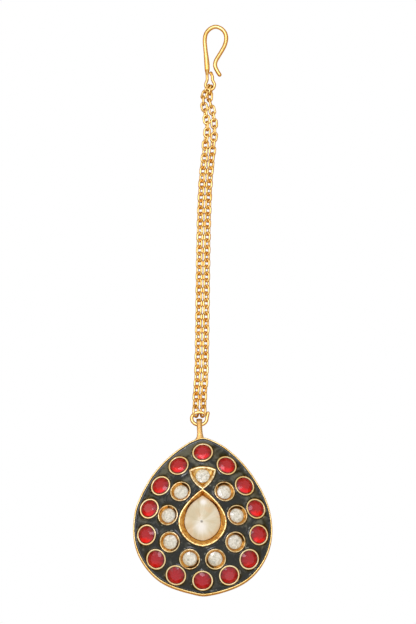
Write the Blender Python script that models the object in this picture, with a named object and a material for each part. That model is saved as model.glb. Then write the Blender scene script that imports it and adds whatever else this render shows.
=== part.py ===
"""A maang tikka lying face up: an enamelled pendant set with stones, two chains and a hair hook.

X runs to the right, Y from the pendant towards the hook and Z up. The origin is on the
pendant's flat back, below the middle of its large pear-shaped stone. Lengths are in metres.
"""
import math

import bmesh
import bpy
import numpy as np
from mathutils import Matrix, Vector, geometry

MM = 0.001

# Clearances
STONE_GAP = 0.1 * MM
ENAMEL_GAP = 0.09 * MM
LINK_GAP = 0.11 * MM
RING_LINK_GAP = 0.28 * MM
SOLDER_GAP = 0.03 * MM

# Bezels and stones, from the middle of the pendant outwards
BEZEL_SIDES = 12
RUBY_BEZEL_WIDTH = 5.34 * MM
POLKI_BEZEL_WIDTH = 5.34 * MM
RUBY_LIP = 0.42 * MM
POLKI_LIP = 0.28 * MM
LIP_HEIGHT = 0.5 * MM
BEZEL_TAPER = 0.16 * MM
WALL_DROP = 1.4 * MM
WEB = 0.3 * MM
RUBY_SEAT_DEPTH = 1.7 * MM
RUBY_CROWN = 0.5 * MM
RUBY_TABLE_SHARE = 0.6
POLKI_SEAT_DEPTH = 3.0 * MM
POLKI_RECESS = 0.6 * MM
POLKI_CROWN = 0.3 * MM
POLKI_BACK = 0.5 * MM
POLKI_TABLE_SHARE = 0.62

PEAR_SIDES = 20
PEAR_WIDTH = 12.3 * MM
PEAR_LENGTH = 14.9 * MM
PEAR_LIP = 0.4 * MM
PEAR_LIP_HEIGHT = 0.6 * MM
PEAR_SLOPE = 1.05 * MM
PEAR_RECESS = 1.0 * MM
PEAR_CROWN = 1.3 * MM
PEAR_BACK = 0.6 * MM
PEAR_SEAT_DEPTH = 1.9 * MM
PEAR_TABLE_SHARE = 0.16
PEAR_TIERS = ((0.62, 0.62),)

TRILLION_SIDES = 18
TRILLION_WIDTH = 6.9 * MM
TRILLION_LENGTH = 6.0 * MM
TRILLION_BULGE = 0.95 * MM
TRILLION_SIDE_BULGE = 0.71 * MM
TRILLION_LIP = 0.35 * MM

# Gaps that the rings of bezels keep, and how much longer the rings are above and below
PEAR_TO_RING = 0.05 * MM
RING_TO_RING = 0.12 * MM
BORDER = 0.75 * MM
POLKI_RING_ABOVE_SPARE = 0.7 * MM
POLKI_RING_BELOW_SPARE = 0.25 * MM
RUBY_RING_ABOVE_SPARE = 0.92 * MM
RUBY_RING_BELOW_TUCK = 0.2 * MM
TOP_BORDER_SPARE = 0.75 * MM

# Pendant body
OUTLINE_SIDES = 40
RIM_WIDTH = 0.5 * MM
RIM_HEIGHT = 2.6 * MM
RIM_ROUND = 0.16 * MM
FIELD_DROP = 0.15 * MM
DOME_RISE = 4.9 * MM
ENAMEL_THICKNESS = 0.4 * MM

# The middle of the pear-shaped bezel lies this far above the origin
PEAR_MIDDLE = 1.17 * MM

# Bail, jump ring and hook
BAIL_WIDTH = 1.35 * MM
BAIL_STRIP = 0.4 * MM
BAIL_REACH = 5.1 * MM
BAIL_ROOT = 0.42 * MM
BAIL_OVER_RING = 0.2 * MM
BAIL_OFF_FLOOR = 0.12 * MM
BAIL_BEND_SECTIONS = 7
RING_WIRE = 0.9 * MM
RING_WIDTH = 4.8 * MM
RING_LENGTH = 4.2 * MM
RING_SECTIONS = 14
RING_SLACK = 0.8 * MM
RING_START = 36
RING_TURN = 366
RING_FREE_TURN = 43
RING_FREE_GAP = 0.22 * MM
RING_FREE_LIFT = 0.12 * MM
RING_X = -0.86 * MM
RING_Z = 1.37 * MM
HOOK_WIRE = 1.08 * MM
HOOK_OFF_FLOOR = 0.01 * MM
EYE_WIRE = 0.78 * MM
EYE_INNER_WIDTH = 1.56 * MM
EYE_LENGTH = 3.4 * MM
WIRE_SIDES = 6

# Chain links
LINK_WIRE = 0.56 * MM
LINK_WIDTH = 2.0 * MM
LINK_PITCH = 1.752 * MM
LINK_WIRE_SIDES = 5
LINK_BEND_TURN = 62
END_LINK_WIDTH = 2.6 * MM
END_LINK_INNER = 2.4 * MM
CHAIN_Z = 0.86 * MM
EYE_Z = 1.1 * MM

# How the chains lie: half the distance between them, and each link's tilt about its own
# length in degrees, for the links with an even and an odd number from the jump ring
STRAND_HALF_SPACING = 0.98 * MM
OUTER_LINK_TILT = 25
INNER_LINK_TILT = -47
END_LINK_TILT = 70
RING_LINK_TURN = 44

# Near the hook the chains turn as they hang: the turn in degrees and the number of links,
# counted from the hook, over which it comes in
RIGHT_TWIST = 52
LEFT_TWIST = 30
TWISTED_LINKS = 6
UNTWISTED_AFTER = 12
TOP_TWIST = 30
TOP_TWIST_LINKS = 4

# The left-hand chain's last points rise by this much, to pass over the right-hand one
LEFT_TOP_RISE = 0.12 * MM
LEFT_RISE_POINTS = 3

# The hook's eye and where the two last links stand in it
EYE_X = 1.92 * MM
EYE_Y = 116.05 * MM
EYE_LINK_OFFSET = 0.35 * MM
EYE_LINK_DROP = 0.12 * MM
LEFT_EYE_STAGGER = 0.2 * MM

# The hook's wire thins towards its eye: where that ends above the eye's round end and over
# what length it comes in, as shares of the eye's length
EYE_TAPER_END = 1.25
EYE_TAPER = 0.45
HOOK_SECTIONS = 38


# The pendant's outline: the direction in degrees from the right-hand side, and how far
# the edge lies from the middle on the left and on the right, as shares of the half width
# across and of the half length along.
OUTLINE = (
    # degrees, left, right
    (90, 1.000, 1.000),
    (80, 0.972, 0.975),
    (70, 0.937, 0.948),
    (60, 0.920, 0.926),
    (50, 0.914, 0.917),
    (40, 0.922, 0.917),
    (30, 0.933, 0.930),
    (20, 0.957, 0.955),
    (10, 0.986, 0.982),
    (0, 0.999, 1.001),
    (-10, 1.008, 1.012),
    (-20, 1.014, 1.019),
    (-30, 1.013, 1.023),
    (-40, 1.010, 1.023),
    (-50, 1.006, 1.018),
    (-60, 0.993, 1.004),
    (-70, 0.980, 0.992),
    (-80, 0.981, 0.993),
    (-90, 1.000, 1.000),
)

# Where the round bezels of the right-hand half sit, as shares of their ring's half width
# and half length. Each is mirrored to the left, apart from the two on the middle line.
RUBY_PLACES = (
    # across, along
    (0.000, 1.000),
    (0.430, 0.817),
    (0.750, 0.536),
    (0.951, 0.218),
    (1.000, -0.187),
    (0.829, -0.620),
    (0.475, -0.903),
    (0.000, -1.000),
)
POLKI_PLACES = (
    # across, along
    (0.635, 0.680),
    (1.000, 0.172),
    (0.942, -0.524),
    (0.371, -1.000),
)

# The pear-shaped bezel: how wide it is at each share of its length from the round end
PEAR_OUTLINE = (
    # along, half width
    (0.000, 0.000),
    (0.035, 0.330),
    (0.120, 0.650),
    (0.250, 0.895),
    (0.400, 1.000),
    (0.550, 0.945),
    (0.700, 0.750),
    (0.850, 0.440),
    (0.950, 0.175),
    (1.000, 0.000),
)

# The middle of the two chains, from the jump ring towards the hook, while they lie side by
# side. Its points are (across, along) and are chosen by hand.
MIDDLE_ROUTE = (
    (-0.70, 34.2),
    (-0.38, 38.1),
    (-0.22, 43.8),
    (-0.11, 51.2),
    (-0.01, 59.1),
    (0.09, 67.5),
    (0.22, 75.4),
    (0.40, 82.3),
    (0.63, 87.9),
    (0.90, 92.2),
    (1.28, 95.7),
    (1.58, 98.6),
)

# Each chain's own points from there to the hook's eye, where the two twist apart
LEFT_TOP_ROUTE = (
    (0.76, 101.0),
    (1.10, 102.9),
    (1.30, 104.3),
    (1.20, 106.0),
    (0.95, 107.7),
    (0.62, 109.4),
    (0.22, 111.0),
    (0.15, 112.4),
    (0.40, 113.8),
)
RIGHT_TOP_ROUTE = (
    (2.72, 101.0),
    (3.05, 102.7),
    (3.06, 104.3),
    (2.95, 106.2),
    (2.80, 107.9),
    (2.38, 109.7),
    (1.95, 111.4),
    (1.78, 113.0),
)

# The hook from its free tip over the bend and down the shank: (across, along)
HOOK_ROUTE = (
    (4.68, 118.62),
    (3.76, 120.10),
    (3.25, 121.40),
    (3.37, 122.60),
    (3.98, 123.80),
    (4.90, 125.35),
    (5.70, 126.90),
    (6.12, 128.60),
    (5.90, 130.15),
    (4.92, 131.40),
    (3.40, 131.98),
    (1.92, 131.42),
    (0.88, 130.15),
    (0.54, 128.40),
    (0.68, 126.20),
    (1.00, 123.10),
    (1.15, 121.00),
)

# The legs of the hook's eye: out from its middle and up from its round end, as shares of
# its half width and of its length
EYE_LEFT_LEG = ((-0.80, 0.80), (-0.98, 0.30))
EYE_RIGHT_LEG = ((0.92, 0.30), (0.62, 0.72), (0.12, 1.10))


class Frame:
    """An origin with two directions across and one, n, along an axis."""

    def __init__(self, origin, n, u=(1.0, 0.0, 0.0)):
        self.origin = np.array(origin, float)
        self.n = unit(n)
        self.u = unit(np.array(u, float) - self.n * np.dot(u, self.n))
        self.v = np.cross(self.n, self.u)

    def points(self, across, height):
        """World points of (x, y) pairs across the frame, at one height along n."""
        across = np.asarray(across, float)
        return (
            self.origin
            + across[:, :1] * self.u
            + across[:, 1:2] * self.v
            + height * self.n
        )


def unit(vector):
    vector = np.asarray(vector, float)
    return vector / np.linalg.norm(vector)


def smooth_curve(points, per_span=16, closed=False):
    """A Catmull-Rom curve through the points, as closely spaced points."""
    points = np.asarray(points, float)
    if closed:
        padded = np.vstack([points[-1], points, points[:2]])
    else:
        padded = np.vstack([2 * points[0] - points[1], points, 2 * points[-1] - points[-2]])
    t = np.linspace(0.0, 1.0, per_span, endpoint=False)[:, None]
    spans = []
    for a, b, c, d in zip(padded, padded[1:], padded[2:], padded[3:]):
        spans.append(
            0.5 * (2 * b + (c - a) * t + (2 * a - 5 * b + 4 * c - d) * t**2
                   + (3 * b - a - 3 * c + d) * t**3)
        )
    curve = np.vstack(spans)
    return curve if closed else np.vstack([curve, points[-1]])


def lengths_along(curve):
    """The distance from the curve's first point to each of its points."""
    return np.concatenate([[0.0], np.cumsum(np.linalg.norm(np.diff(curve, axis=0), axis=1))])


def at_lengths(curve, distances):
    """The points at these distances along the curve."""
    along = lengths_along(curve)
    return np.column_stack([np.interp(distances, along, column) for column in curve.T])


def even_loop(curve, count):
    """A closed curve shared out into evenly spaced points."""
    loop = np.vstack([curve, curve[:1]])
    return at_lengths(loop, np.linspace(0.0, lengths_along(loop)[-1], count, endpoint=False))


def inset(loop, distance):
    """A closed plan outline, running anticlockwise, moved inwards by a distance."""
    ahead = np.roll(loop, -1, axis=0) - np.roll(loop, 1, axis=0)
    ahead /= np.linalg.norm(ahead, axis=1)[:, None]
    inward = np.column_stack([-ahead[:, 1], ahead[:, 0]])
    return loop + distance * inward


def circle(radius, sides):
    turn = (np.arange(sides) + 0.5) * 2 * math.pi / sides
    return radius * np.column_stack([np.cos(turn), np.sin(turn)])


ruby_radius = RUBY_BEZEL_WIDTH / 2
polki_radius = POLKI_BEZEL_WIDTH / 2
polki_ring_half_width = PEAR_WIDTH / 2 + PEAR_TO_RING + polki_radius
polki_ring_above = PEAR_LENGTH / 2 + PEAR_MIDDLE + PEAR_TO_RING + polki_radius + POLKI_RING_ABOVE_SPARE
polki_ring_below = PEAR_LENGTH / 2 - PEAR_MIDDLE + PEAR_TO_RING + polki_radius + POLKI_RING_BELOW_SPARE
ruby_ring_half_width = polki_ring_half_width + polki_radius + RING_TO_RING + ruby_radius
ruby_ring_above = (
    PEAR_LENGTH / 2 + PEAR_MIDDLE + WEB + TRILLION_LENGTH + RING_TO_RING + ruby_radius + RUBY_RING_ABOVE_SPARE
)
ruby_ring_below = polki_ring_below + polki_radius + RING_TO_RING + ruby_radius - RUBY_RING_BELOW_TUCK
half_width = ruby_ring_half_width + ruby_radius + BORDER
half_above = ruby_ring_above + ruby_radius + BORDER + TOP_BORDER_SPARE
half_below = ruby_ring_below + ruby_radius + BORDER
ring_half_width = (RING_WIDTH - RING_WIRE) / 2
ring_half_length = (RING_LENGTH - RING_WIRE) / 2
ring_y = half_above + BAIL_REACH - BAIL_STRIP - RING_SLACK - RING_WIRE / 2 + ring_half_length


def pendant_outline():
    """The edge of the pendant in plan, anticlockwise from the right-hand side."""
    right = [(angle, share) for angle, _, share in OUTLINE]
    left = [(180 - angle, share) for angle, share, _ in OUTLINE[1:-1]]
    rows = sorted(right[::-1] + left)
    angles = np.radians([angle for angle, _ in rows])
    shares = np.array([share for _, share in rows])
    along = np.where(np.sin(angles) > 0, half_above, half_below)
    points = np.column_stack(
        [half_width * shares * np.cos(angles), along * shares * np.sin(angles)]
    )
    return even_loop(smooth_curve(points, closed=True), OUTLINE_SIDES)


outline = pendant_outline()
field_edge = inset(outline, RIM_WIDTH)
edge_turns = np.arctan2(field_edge[:, 1], field_edge[:, 0])
edge_order = np.argsort(edge_turns)
edge_turns = edge_turns[edge_order]
edge_radii = np.hypot(field_edge[:, 0], field_edge[:, 1])[edge_order]


def dome(points, drop=0.0):
    """The height of the domed field over plan points, or of a surface that far below it."""
    points = np.asarray(points, float)
    turns = np.arctan2(points[:, 1], points[:, 0])
    edge = np.interp(turns, edge_turns, edge_radii, period=2 * math.pi)
    share = np.hypot(points[:, 0], points[:, 1]) / edge
    return RIM_HEIGHT - FIELD_DROP + DOME_RISE * (1 - share**2) - drop


def dome_normal(x, y):
    step = 0.05 * MM
    around = dome([(x + step, y), (x - step, y), (x, y + step), (x, y - step)])
    return unit([around[1] - around[0], around[3] - around[2], 2 * step])


def where_wall_meets_dome(top, bottom, drop):
    """The point of each line from top to bottom that lies on the dome, lowered by drop."""
    high = np.zeros(len(top))
    low = np.full(len(top), 3.0)
    for _ in range(40):
        middle = (high + low) / 2
        points = top + (bottom - top) * middle[:, None]
        above = points[:, 2] > dome(points[:, :2], drop)
        high = np.where(above, middle, high)
        low = np.where(above, low, middle)
    return top + (bottom - top) * high[:, None]


class Bezel:
    """A collar soldered on the dome: its lip, the neighbours it gives way to and its seat."""

    def __init__(self, name, x, y, shape, lip, lip_height=LIP_HEIGHT, upright=False):
        normal = (0.0, 0.0, 1.0) if upright else dome_normal(x, y)
        self.name = name
        self.frame = Frame((x, y, dome([(x, y)])[0] + lip_height), normal)
        self.shape = shape
        self.lip = lip
        self.neighbours = []

    def centre(self, level):
        return self.frame.origin - level * self.frame.n

    def radius(self, level):
        return np.hypot(*self.shape.T).max() - BEZEL_TAPER * level / WALL_DROP

    def plain_ring(self, level, grow=0.0):
        across = inset(self.shape, BEZEL_TAPER * level / WALL_DROP - grow)
        return self.frame.points(across, -level)

    def ring(self, level, grow=0.0):
        """The collar's outside at a depth below its lip, flattened where a neighbour is near."""
        points = self.plain_ring(level, grow)
        middle = self.centre(level)
        for neighbour in self.neighbours:
            if neighbour.round_shape():
                away = neighbour.centre(level) - middle
                distance = np.linalg.norm(away)
                spare = distance - self.radius(level) - neighbour.radius(level) - WEB
                limit = self.radius(level) + min(spare, 0.0) / 2
            else:
                edge = neighbour.plain_ring(level) - middle
                away = edge[np.argmin(np.linalg.norm(edge, axis=1))]
                distance = np.linalg.norm(away)
                limit = distance - WEB
            away = away / distance
            past = (points - middle) @ away - limit - grow
            points = points - np.maximum(past, 0.0)[:, None] * away
        return points

    def round_shape(self):
        return len(self.shape) == BEZEL_SIDES

    def on_dome(self, drop, grow=0.0):
        return where_wall_meets_dome(self.ring(0.0, grow), self.ring(WALL_DROP, grow), drop)


def pear_outline(width, length):
    """A pear shape about its middle, its point towards +Y, anticlockwise from the round end."""
    rows = np.array(PEAR_OUTLINE)
    right = np.column_stack([rows[:, 1] * width / 2, (rows[:, 0] - 0.5) * length])
    left = right[-2:0:-1] * (-1, 1)
    half = PEAR_SIDES // 2
    curve = smooth_curve(right)
    along = np.linspace(0.0, lengths_along(curve)[-1], half + 1)
    side = at_lengths(curve, along)
    return np.vstack([side, side[-2:0:-1] * (-1, 1)])


def bulged_side(start, end, bulge, steps):
    """A side that bows outwards by bulge, without its last point."""
    start, end = np.array(start), np.array(end)
    share = np.linspace(0.0, 1.0, steps, endpoint=False)[:, None]
    outward = unit([end[1] - start[1], start[0] - end[0]])
    return start + (end - start) * share + outward * 4 * bulge * share * (1 - share)


def trillion_outline():
    """The three-cornered bezel about its middle, one corner pointing down, anticlockwise."""
    top = TRILLION_LENGTH / 2 - TRILLION_BULGE
    tip = (0.0, -TRILLION_LENGTH / 2)
    right = (TRILLION_WIDTH / 2, top)
    left = (-TRILLION_WIDTH / 2, top)
    steps = TRILLION_SIDES // 3
    return np.vstack(
        [
            bulged_side(tip, right, TRILLION_SIDE_BULGE, steps),
            bulged_side(right, left, TRILLION_BULGE, steps),
            bulged_side(left, tip, TRILLION_SIDE_BULGE, steps),
        ]
    )


def mirrored(places):
    """(x, y) of each place, the right-hand one and then its mirror image."""
    return [(side * x, y) for x, y in places for side in ((1, -1) if x else (1,))]


def ring_places(rows, width, above, below):
    return mirrored([(x * width, y * (above if y > 0 else below)) for x, y in rows])


def all_bezels():
    ruby_shape = circle(ruby_radius, BEZEL_SIDES)
    polki_shape = circle(polki_radius, BEZEL_SIDES)
    rubies = [
        Bezel(f"ruby_{number:02d}", x, y, ruby_shape, RUBY_LIP)
        for number, (x, y) in enumerate(
            ring_places(RUBY_PLACES, ruby_ring_half_width, ruby_ring_above, ruby_ring_below), 1
        )
    ]
    polkis = [
        Bezel(f"polki_{number:02d}", x, y, polki_shape, POLKI_LIP)
        for number, (x, y) in enumerate(
            ring_places(POLKI_PLACES, polki_ring_half_width, polki_ring_above, polki_ring_below), 1
        )
    ]
    pear = Bezel(
        "polki_centre",
        0.0,
        PEAR_MIDDLE,
        pear_outline(PEAR_WIDTH, PEAR_LENGTH),
        PEAR_LIP,
        PEAR_LIP_HEIGHT,
        upright=True,
    )
    trillion_y = PEAR_MIDDLE + PEAR_LENGTH / 2 + WEB + TRILLION_LENGTH / 2
    trillion = Bezel("polki_top", 0.0, trillion_y, trillion_outline(), TRILLION_LIP)
    for bezel in rubies + polkis:
        for other in rubies + polkis + [pear]:
            if other is not bezel:
                bezel.neighbours.append(other)
    return rubies, polkis, pear, trillion


rubies, polkis, pear, trillion = all_bezels()
bezels = rubies + polkis + [pear, trillion]


class Shell:
    """Points and faces gathered piece by piece."""

    def __init__(self):
        self.points = []
        self.faces = []

    def add(self, points):
        start = len(self.points)
        self.points.extend(map(tuple, points))
        return list(range(start, len(self.points)))

    def strip(self, first, second):
        """A band of quads between two rings with as many points."""
        for i, j in zip(range(len(first)), list(range(1, len(first))) + [0]):
            self.faces.append((first[i], first[j], second[j], second[i]))

    def fan(self, ring, tip):
        for i, j in zip(ring, ring[1:] + ring[:1]):
            self.faces.append((i, j, tip))

    def cap(self, ring):
        self.faces.append(tuple(ring))

    def to_mesh(self, name):
        mesh = bpy.data.meshes.new(name)
        mesh.from_pydata(self.points, [], self.faces)
        bm = bmesh.new()
        bm.from_mesh(mesh)
        bmesh.ops.recalc_face_normals(bm, faces=bm.faces[:])
        bm.to_mesh(mesh)
        bm.free()
        return mesh


def fill_between(outer, holes):
    """Triangles that fill the plan outline outside its holes, as indices into them all."""
    loops = [outer] + holes
    points = [Vector(point[:2] / MM) for loop in loops for point in loop]
    owner = np.repeat(np.arange(len(loops)), [len(loop) for loop in loops])
    edges = []
    start = 0
    for loop in loops:
        size = len(loop)
        edges += [(start + i, start + (i + 1) % size) for i in range(size)]
        start += size
    made = geometry.delaunay_2d_cdt(points, edges, [], 0, 1e-5)
    source = [origin[0] for origin in made[3]]
    outside = outer[:, :2]
    kept = []
    for face in made[2]:
        corners = [source[i] for i in face]
        owners = set(owner[corners])
        if len(owners) == 1:
            if owners != {0}:
                continue
            if not inside(np.mean([points[i] for i in corners], axis=0) * MM, outside):
                continue
        kept.append(corners)
    return kept


def inside(point, loop):
    """Whether a plan point lies in a closed outline."""
    ahead = np.roll(loop, -1, axis=0)
    spans = (loop[:, 1] > point[1]) != (ahead[:, 1] > point[1])
    rise = np.where(spans, ahead[:, 1] - loop[:, 1], 1.0)
    crossing = loop[:, 0] + (point[1] - loop[:, 1]) * (ahead[:, 0] - loop[:, 0]) / rise
    return bool(np.count_nonzero(spans & (crossing > point[0])) % 2)


def at_height(plan, height):
    return np.column_stack([plan, np.full(len(plan), height)])


def seat_rings(bezel):
    """The rings that run from a bezel's lip down to its seat, and the seat's deepest point."""
    frame = bezel.frame
    lip_in = bezel.ring(0.0, -bezel.lip)
    if bezel is pear:
        stone = inset(bezel.shape, PEAR_LIP + PEAR_SLOPE)
        return [lip_in, frame.points(stone, -PEAR_RECESS)], bezel.centre(PEAR_SEAT_DEPTH)
    if bezel is trillion:
        round_seat = circle_towards(bezel.shape, trillion_stone_radius + 1.5 * STONE_GAP)
        seat = frame.points(round_seat, -POLKI_RECESS)
        return [lip_in, seat], bezel.centre(POLKI_RECESS + POLKI_BACK + 3 * STONE_GAP)
    depth = RUBY_SEAT_DEPTH if bezel in rubies else POLKI_SEAT_DEPTH
    return [lip_in], bezel.centre(depth)


def circle_towards(shape, radius):
    """A circle with one point in the direction of each point of the shape."""
    return shape * (radius / np.hypot(*shape.T))[:, None]


ruby_stone_radius = ruby_radius - RUBY_LIP - STONE_GAP
polki_stone_radius = (polki_radius - POLKI_LIP) * (1 - POLKI_RECESS / POLKI_SEAT_DEPTH) - STONE_GAP
trillion_stone_radius = polki_stone_radius


def setting_mesh():
    """The back, rim, field and every bezel, as one soldered body of gold."""
    shell = Shell()
    back = shell.add(at_height(outline, 0.0))
    side = shell.add(at_height(outline, RIM_HEIGHT - RIM_ROUND))
    crest_out = shell.add(at_height(inset(outline, RIM_ROUND), RIM_HEIGHT))
    crest_in = shell.add(at_height(inset(outline, RIM_WIDTH - RIM_ROUND / 2), RIM_HEIGHT))
    shell.cap(back)
    shell.strip(back, side)
    shell.strip(side, crest_out)
    shell.strip(crest_out, crest_in)

    under_enamel = ENAMEL_THICKNESS + ENAMEL_GAP
    edge = np.column_stack([field_edge, dome(field_edge, under_enamel)])
    feet = [bezel.on_dome(under_enamel) for bezel in bezels]
    field = shell.add(np.vstack([edge] + feet))
    shell.strip(crest_in, field[: len(edge)])
    for corners in fill_between(edge, feet):
        shell.faces.append(tuple(field[i] for i in corners))

    start = len(edge)
    for bezel, foot in zip(bezels, feet):
        ring = field[start : start + len(foot)]
        start += len(foot)
        lip_out = shell.add(bezel.ring(0.0))
        shell.strip(ring, lip_out)
        inner, deepest = seat_rings(bezel)
        for points in inner:
            next_ring = shell.add(points)
            shell.strip(lip_out, next_ring)
            lip_out = next_ring
        shell.fan(lip_out, shell.add([deepest])[0])
    return shell.to_mesh("setting")


def enamel_mesh():
    """The dark field: a domed sheet with a hole round each bezel."""
    shell = Shell()
    edge = inset(outline, RIM_WIDTH + ENAMEL_GAP)
    rings = []
    for drop in (0.0, ENAMEL_THICKNESS):
        holes = [bezel.on_dome(drop, ENAMEL_GAP) for bezel in bezels]
        rim = np.column_stack([edge, dome(edge, drop)])
        rings.append(shell.add(np.vstack([rim] + holes)))
        if drop == 0.0:
            fill = fill_between(rim, holes)
            sizes = [len(rim)] + [len(hole) for hole in holes]
        for corners in fill:
            shell.faces.append(tuple(rings[-1][i] for i in corners))
    start = 0
    for size in sizes:
        shell.strip(rings[0][start : start + size], rings[1][start : start + size])
        start += size
    return shell.to_mesh("enamel")


def cut_stone_mesh(name, shape, table_share, crown, back, tiers=()):
    """A stone on its girdle: facets up to a flat table and down to a point.

    Each tier is a ring of facets between girdle and table, as shares of the shape and of
    the crown's height.
    """
    shell = Shell()
    girdle = shell.add(at_height(shape, 0.0))
    ring = girdle
    for share, rise in tuple(tiers) + ((table_share, 1.0),):
        upper = shell.add(at_height(shape * share, crown * rise))
        shell.strip(ring, upper)
        ring = upper
    shell.cap(ring)
    shell.fan(girdle, shell.add([(0.0, 0.0, -back)])[0])
    return shell.to_mesh(name)


def bail_mesh():
    """A gold strip bent into a loop that stands on edge and runs into the rim."""
    root = half_above - BAIL_ROOT
    top = RING_Z + RING_WIRE / 2 + BAIL_OVER_RING + BAIL_STRIP / 2
    bottom = BAIL_OFF_FLOOR + BAIL_STRIP / 2
    middle = (top + bottom) / 2
    bend = (top - bottom) / 2
    turn_y = half_above + BAIL_REACH - BAIL_STRIP / 2 - bend
    turns = np.linspace(math.pi / 2, -math.pi / 2, BAIL_BEND_SECTIONS)
    arc = np.column_stack([turn_y + bend * np.cos(turns), middle + bend * np.sin(turns)])
    line = np.vstack([[(root, top)], arc, [(root, bottom)]])
    ahead = np.gradient(line, axis=0)
    ahead /= np.linalg.norm(ahead, axis=1)[:, None]
    ahead[0], ahead[-1] = (1, 0), (-1, 0)
    out = np.column_stack([-ahead[:, 1], ahead[:, 0]]) * BAIL_STRIP / 2
    half = BAIL_WIDTH / 2
    shell = Shell()
    rings = []
    for (y, z), (dy, dz) in zip(line, out):
        corners = [(-half, y + dy, z + dz), (half, y + dy, z + dz),
                   (half, y - dy, z - dz), (-half, y - dy, z - dz)]
        rings.append(shell.add(np.array(corners) + (RING_X, 0.0, 0.0)))
    for first, second in zip(rings, rings[1:]):
        shell.strip(first, second)
    shell.cap(rings[0])
    shell.cap(rings[-1])
    return shell.to_mesh("bail")


def wire_object(name, points, radii, sides_level, material):
    """A round wire along the points, as a curve with filled ends."""
    curve = bpy.data.curves.new(name, "CURVE")
    curve.dimensions = "3D"
    curve.bevel_depth = 1.0
    curve.bevel_resolution = sides_level
    curve.use_fill_caps = True
    spline = curve.splines.new("POLY")
    spline.points.add(len(points) - 1)
    for slot, point, radius in zip(spline.points, points, radii):
        slot.co = (*point, 1.0)
        slot.radius = radius
    wire = bpy.data.objects.new(name, curve)
    bpy.context.scene.collection.objects.link(wire)
    curve.materials.append(material)
    return wire


def jump_ring_points():
    """An open oval ring of a little over one turn, its free end lifted and turned outwards."""
    turns = np.radians(np.linspace(RING_START, RING_START + RING_TURN, RING_SECTIONS + 1))
    free = math.radians(RING_FREE_TURN)
    late = np.clip((turns - turns[-1] + free) / free, 0, 1) ** 2
    outwards = late * (RING_WIRE + RING_FREE_GAP)
    return np.column_stack(
        [
            RING_X + (ring_half_width + outwards) * np.cos(turns),
            ring_y + (ring_half_length + outwards) * np.sin(turns),
            RING_Z + late * RING_FREE_LIFT,
        ]
    )


def hook_points():
    """The hook's wire from its tip to the end of its eye, with each point's radius."""
    half = (EYE_INNER_WIDTH + EYE_WIRE) / 2
    body = np.array(HOOK_ROUTE) * MM
    bend = np.radians(np.linspace(180, 360, 5))
    loop = np.column_stack([EYE_X + half * np.cos(bend), EYE_Y + half * np.sin(bend)])
    left_leg = np.array(EYE_LEFT_LEG) * (half, EYE_LENGTH) + (EYE_X, EYE_Y)
    right_leg = np.array(EYE_RIGHT_LEG) * (half, EYE_LENGTH) + (EYE_X, EYE_Y)
    plan = np.vstack([body, left_leg, loop, right_leg])
    curve = smooth_curve(plan)
    curve = at_lengths(curve, np.linspace(0.0, lengths_along(curve)[-1], HOOK_SECTIONS))
    taper_end = EYE_Y + EYE_LENGTH * EYE_TAPER_END
    eye_share = np.clip((taper_end - curve[:, 1]) / (EYE_LENGTH * EYE_TAPER), 0, 1)
    eye_share[: np.argmax(curve[:, 1])] = 0.0
    flat_z = HOOK_WIRE / 2 + HOOK_OFF_FLOOR
    height = flat_z + (EYE_Z - flat_z) * eye_share
    radius = HOOK_WIRE / 2 + (EYE_WIRE - HOOK_WIRE) / 2 * eye_share
    return np.column_stack([curve, height]), radius


def strand_route(side):
    """A chain's route from its grip inside the jump ring to its grip inside the hook's eye.

    side is 1 for the right-hand chain and -1 for the left-hand one.
    """
    turn = math.radians(RING_LINK_TURN)
    within = RING_WIRE / 2 + RING_LINK_GAP
    start = (
        RING_X + side * (ring_half_width - within) * math.sin(turn),
        ring_y + (ring_half_length - within) * math.cos(turn),
        RING_Z,
    )
    beside = [
        (x * MM + side * STRAND_HALF_SPACING, y * MM, CHAIN_Z) for x, y in MIDDLE_ROUTE
    ]
    top = RIGHT_TOP_ROUTE if side > 0 else LEFT_TOP_ROUTE
    rise = LEFT_TOP_RISE if side < 0 else 0.0
    risen = np.linspace(0.0, rise, LEFT_RISE_POINTS)
    heights = EYE_Z + np.concatenate([np.zeros(len(top) - LEFT_RISE_POINTS), risen])
    twisted = [(x * MM, y * MM, z) for (x, y), z in zip(top, heights)]
    flat = LINK_WIRE / 2 * math.cos(math.pi / LINK_WIRE_SIDES)
    end_y = EYE_Y - flat - EYE_LINK_DROP + (LEFT_EYE_STAGGER if side < 0 else 0.0)
    end = (EYE_X + side * EYE_LINK_OFFSET, end_y, EYE_Z)
    return smooth_curve([start] + beside + twisted + [end])


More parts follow.
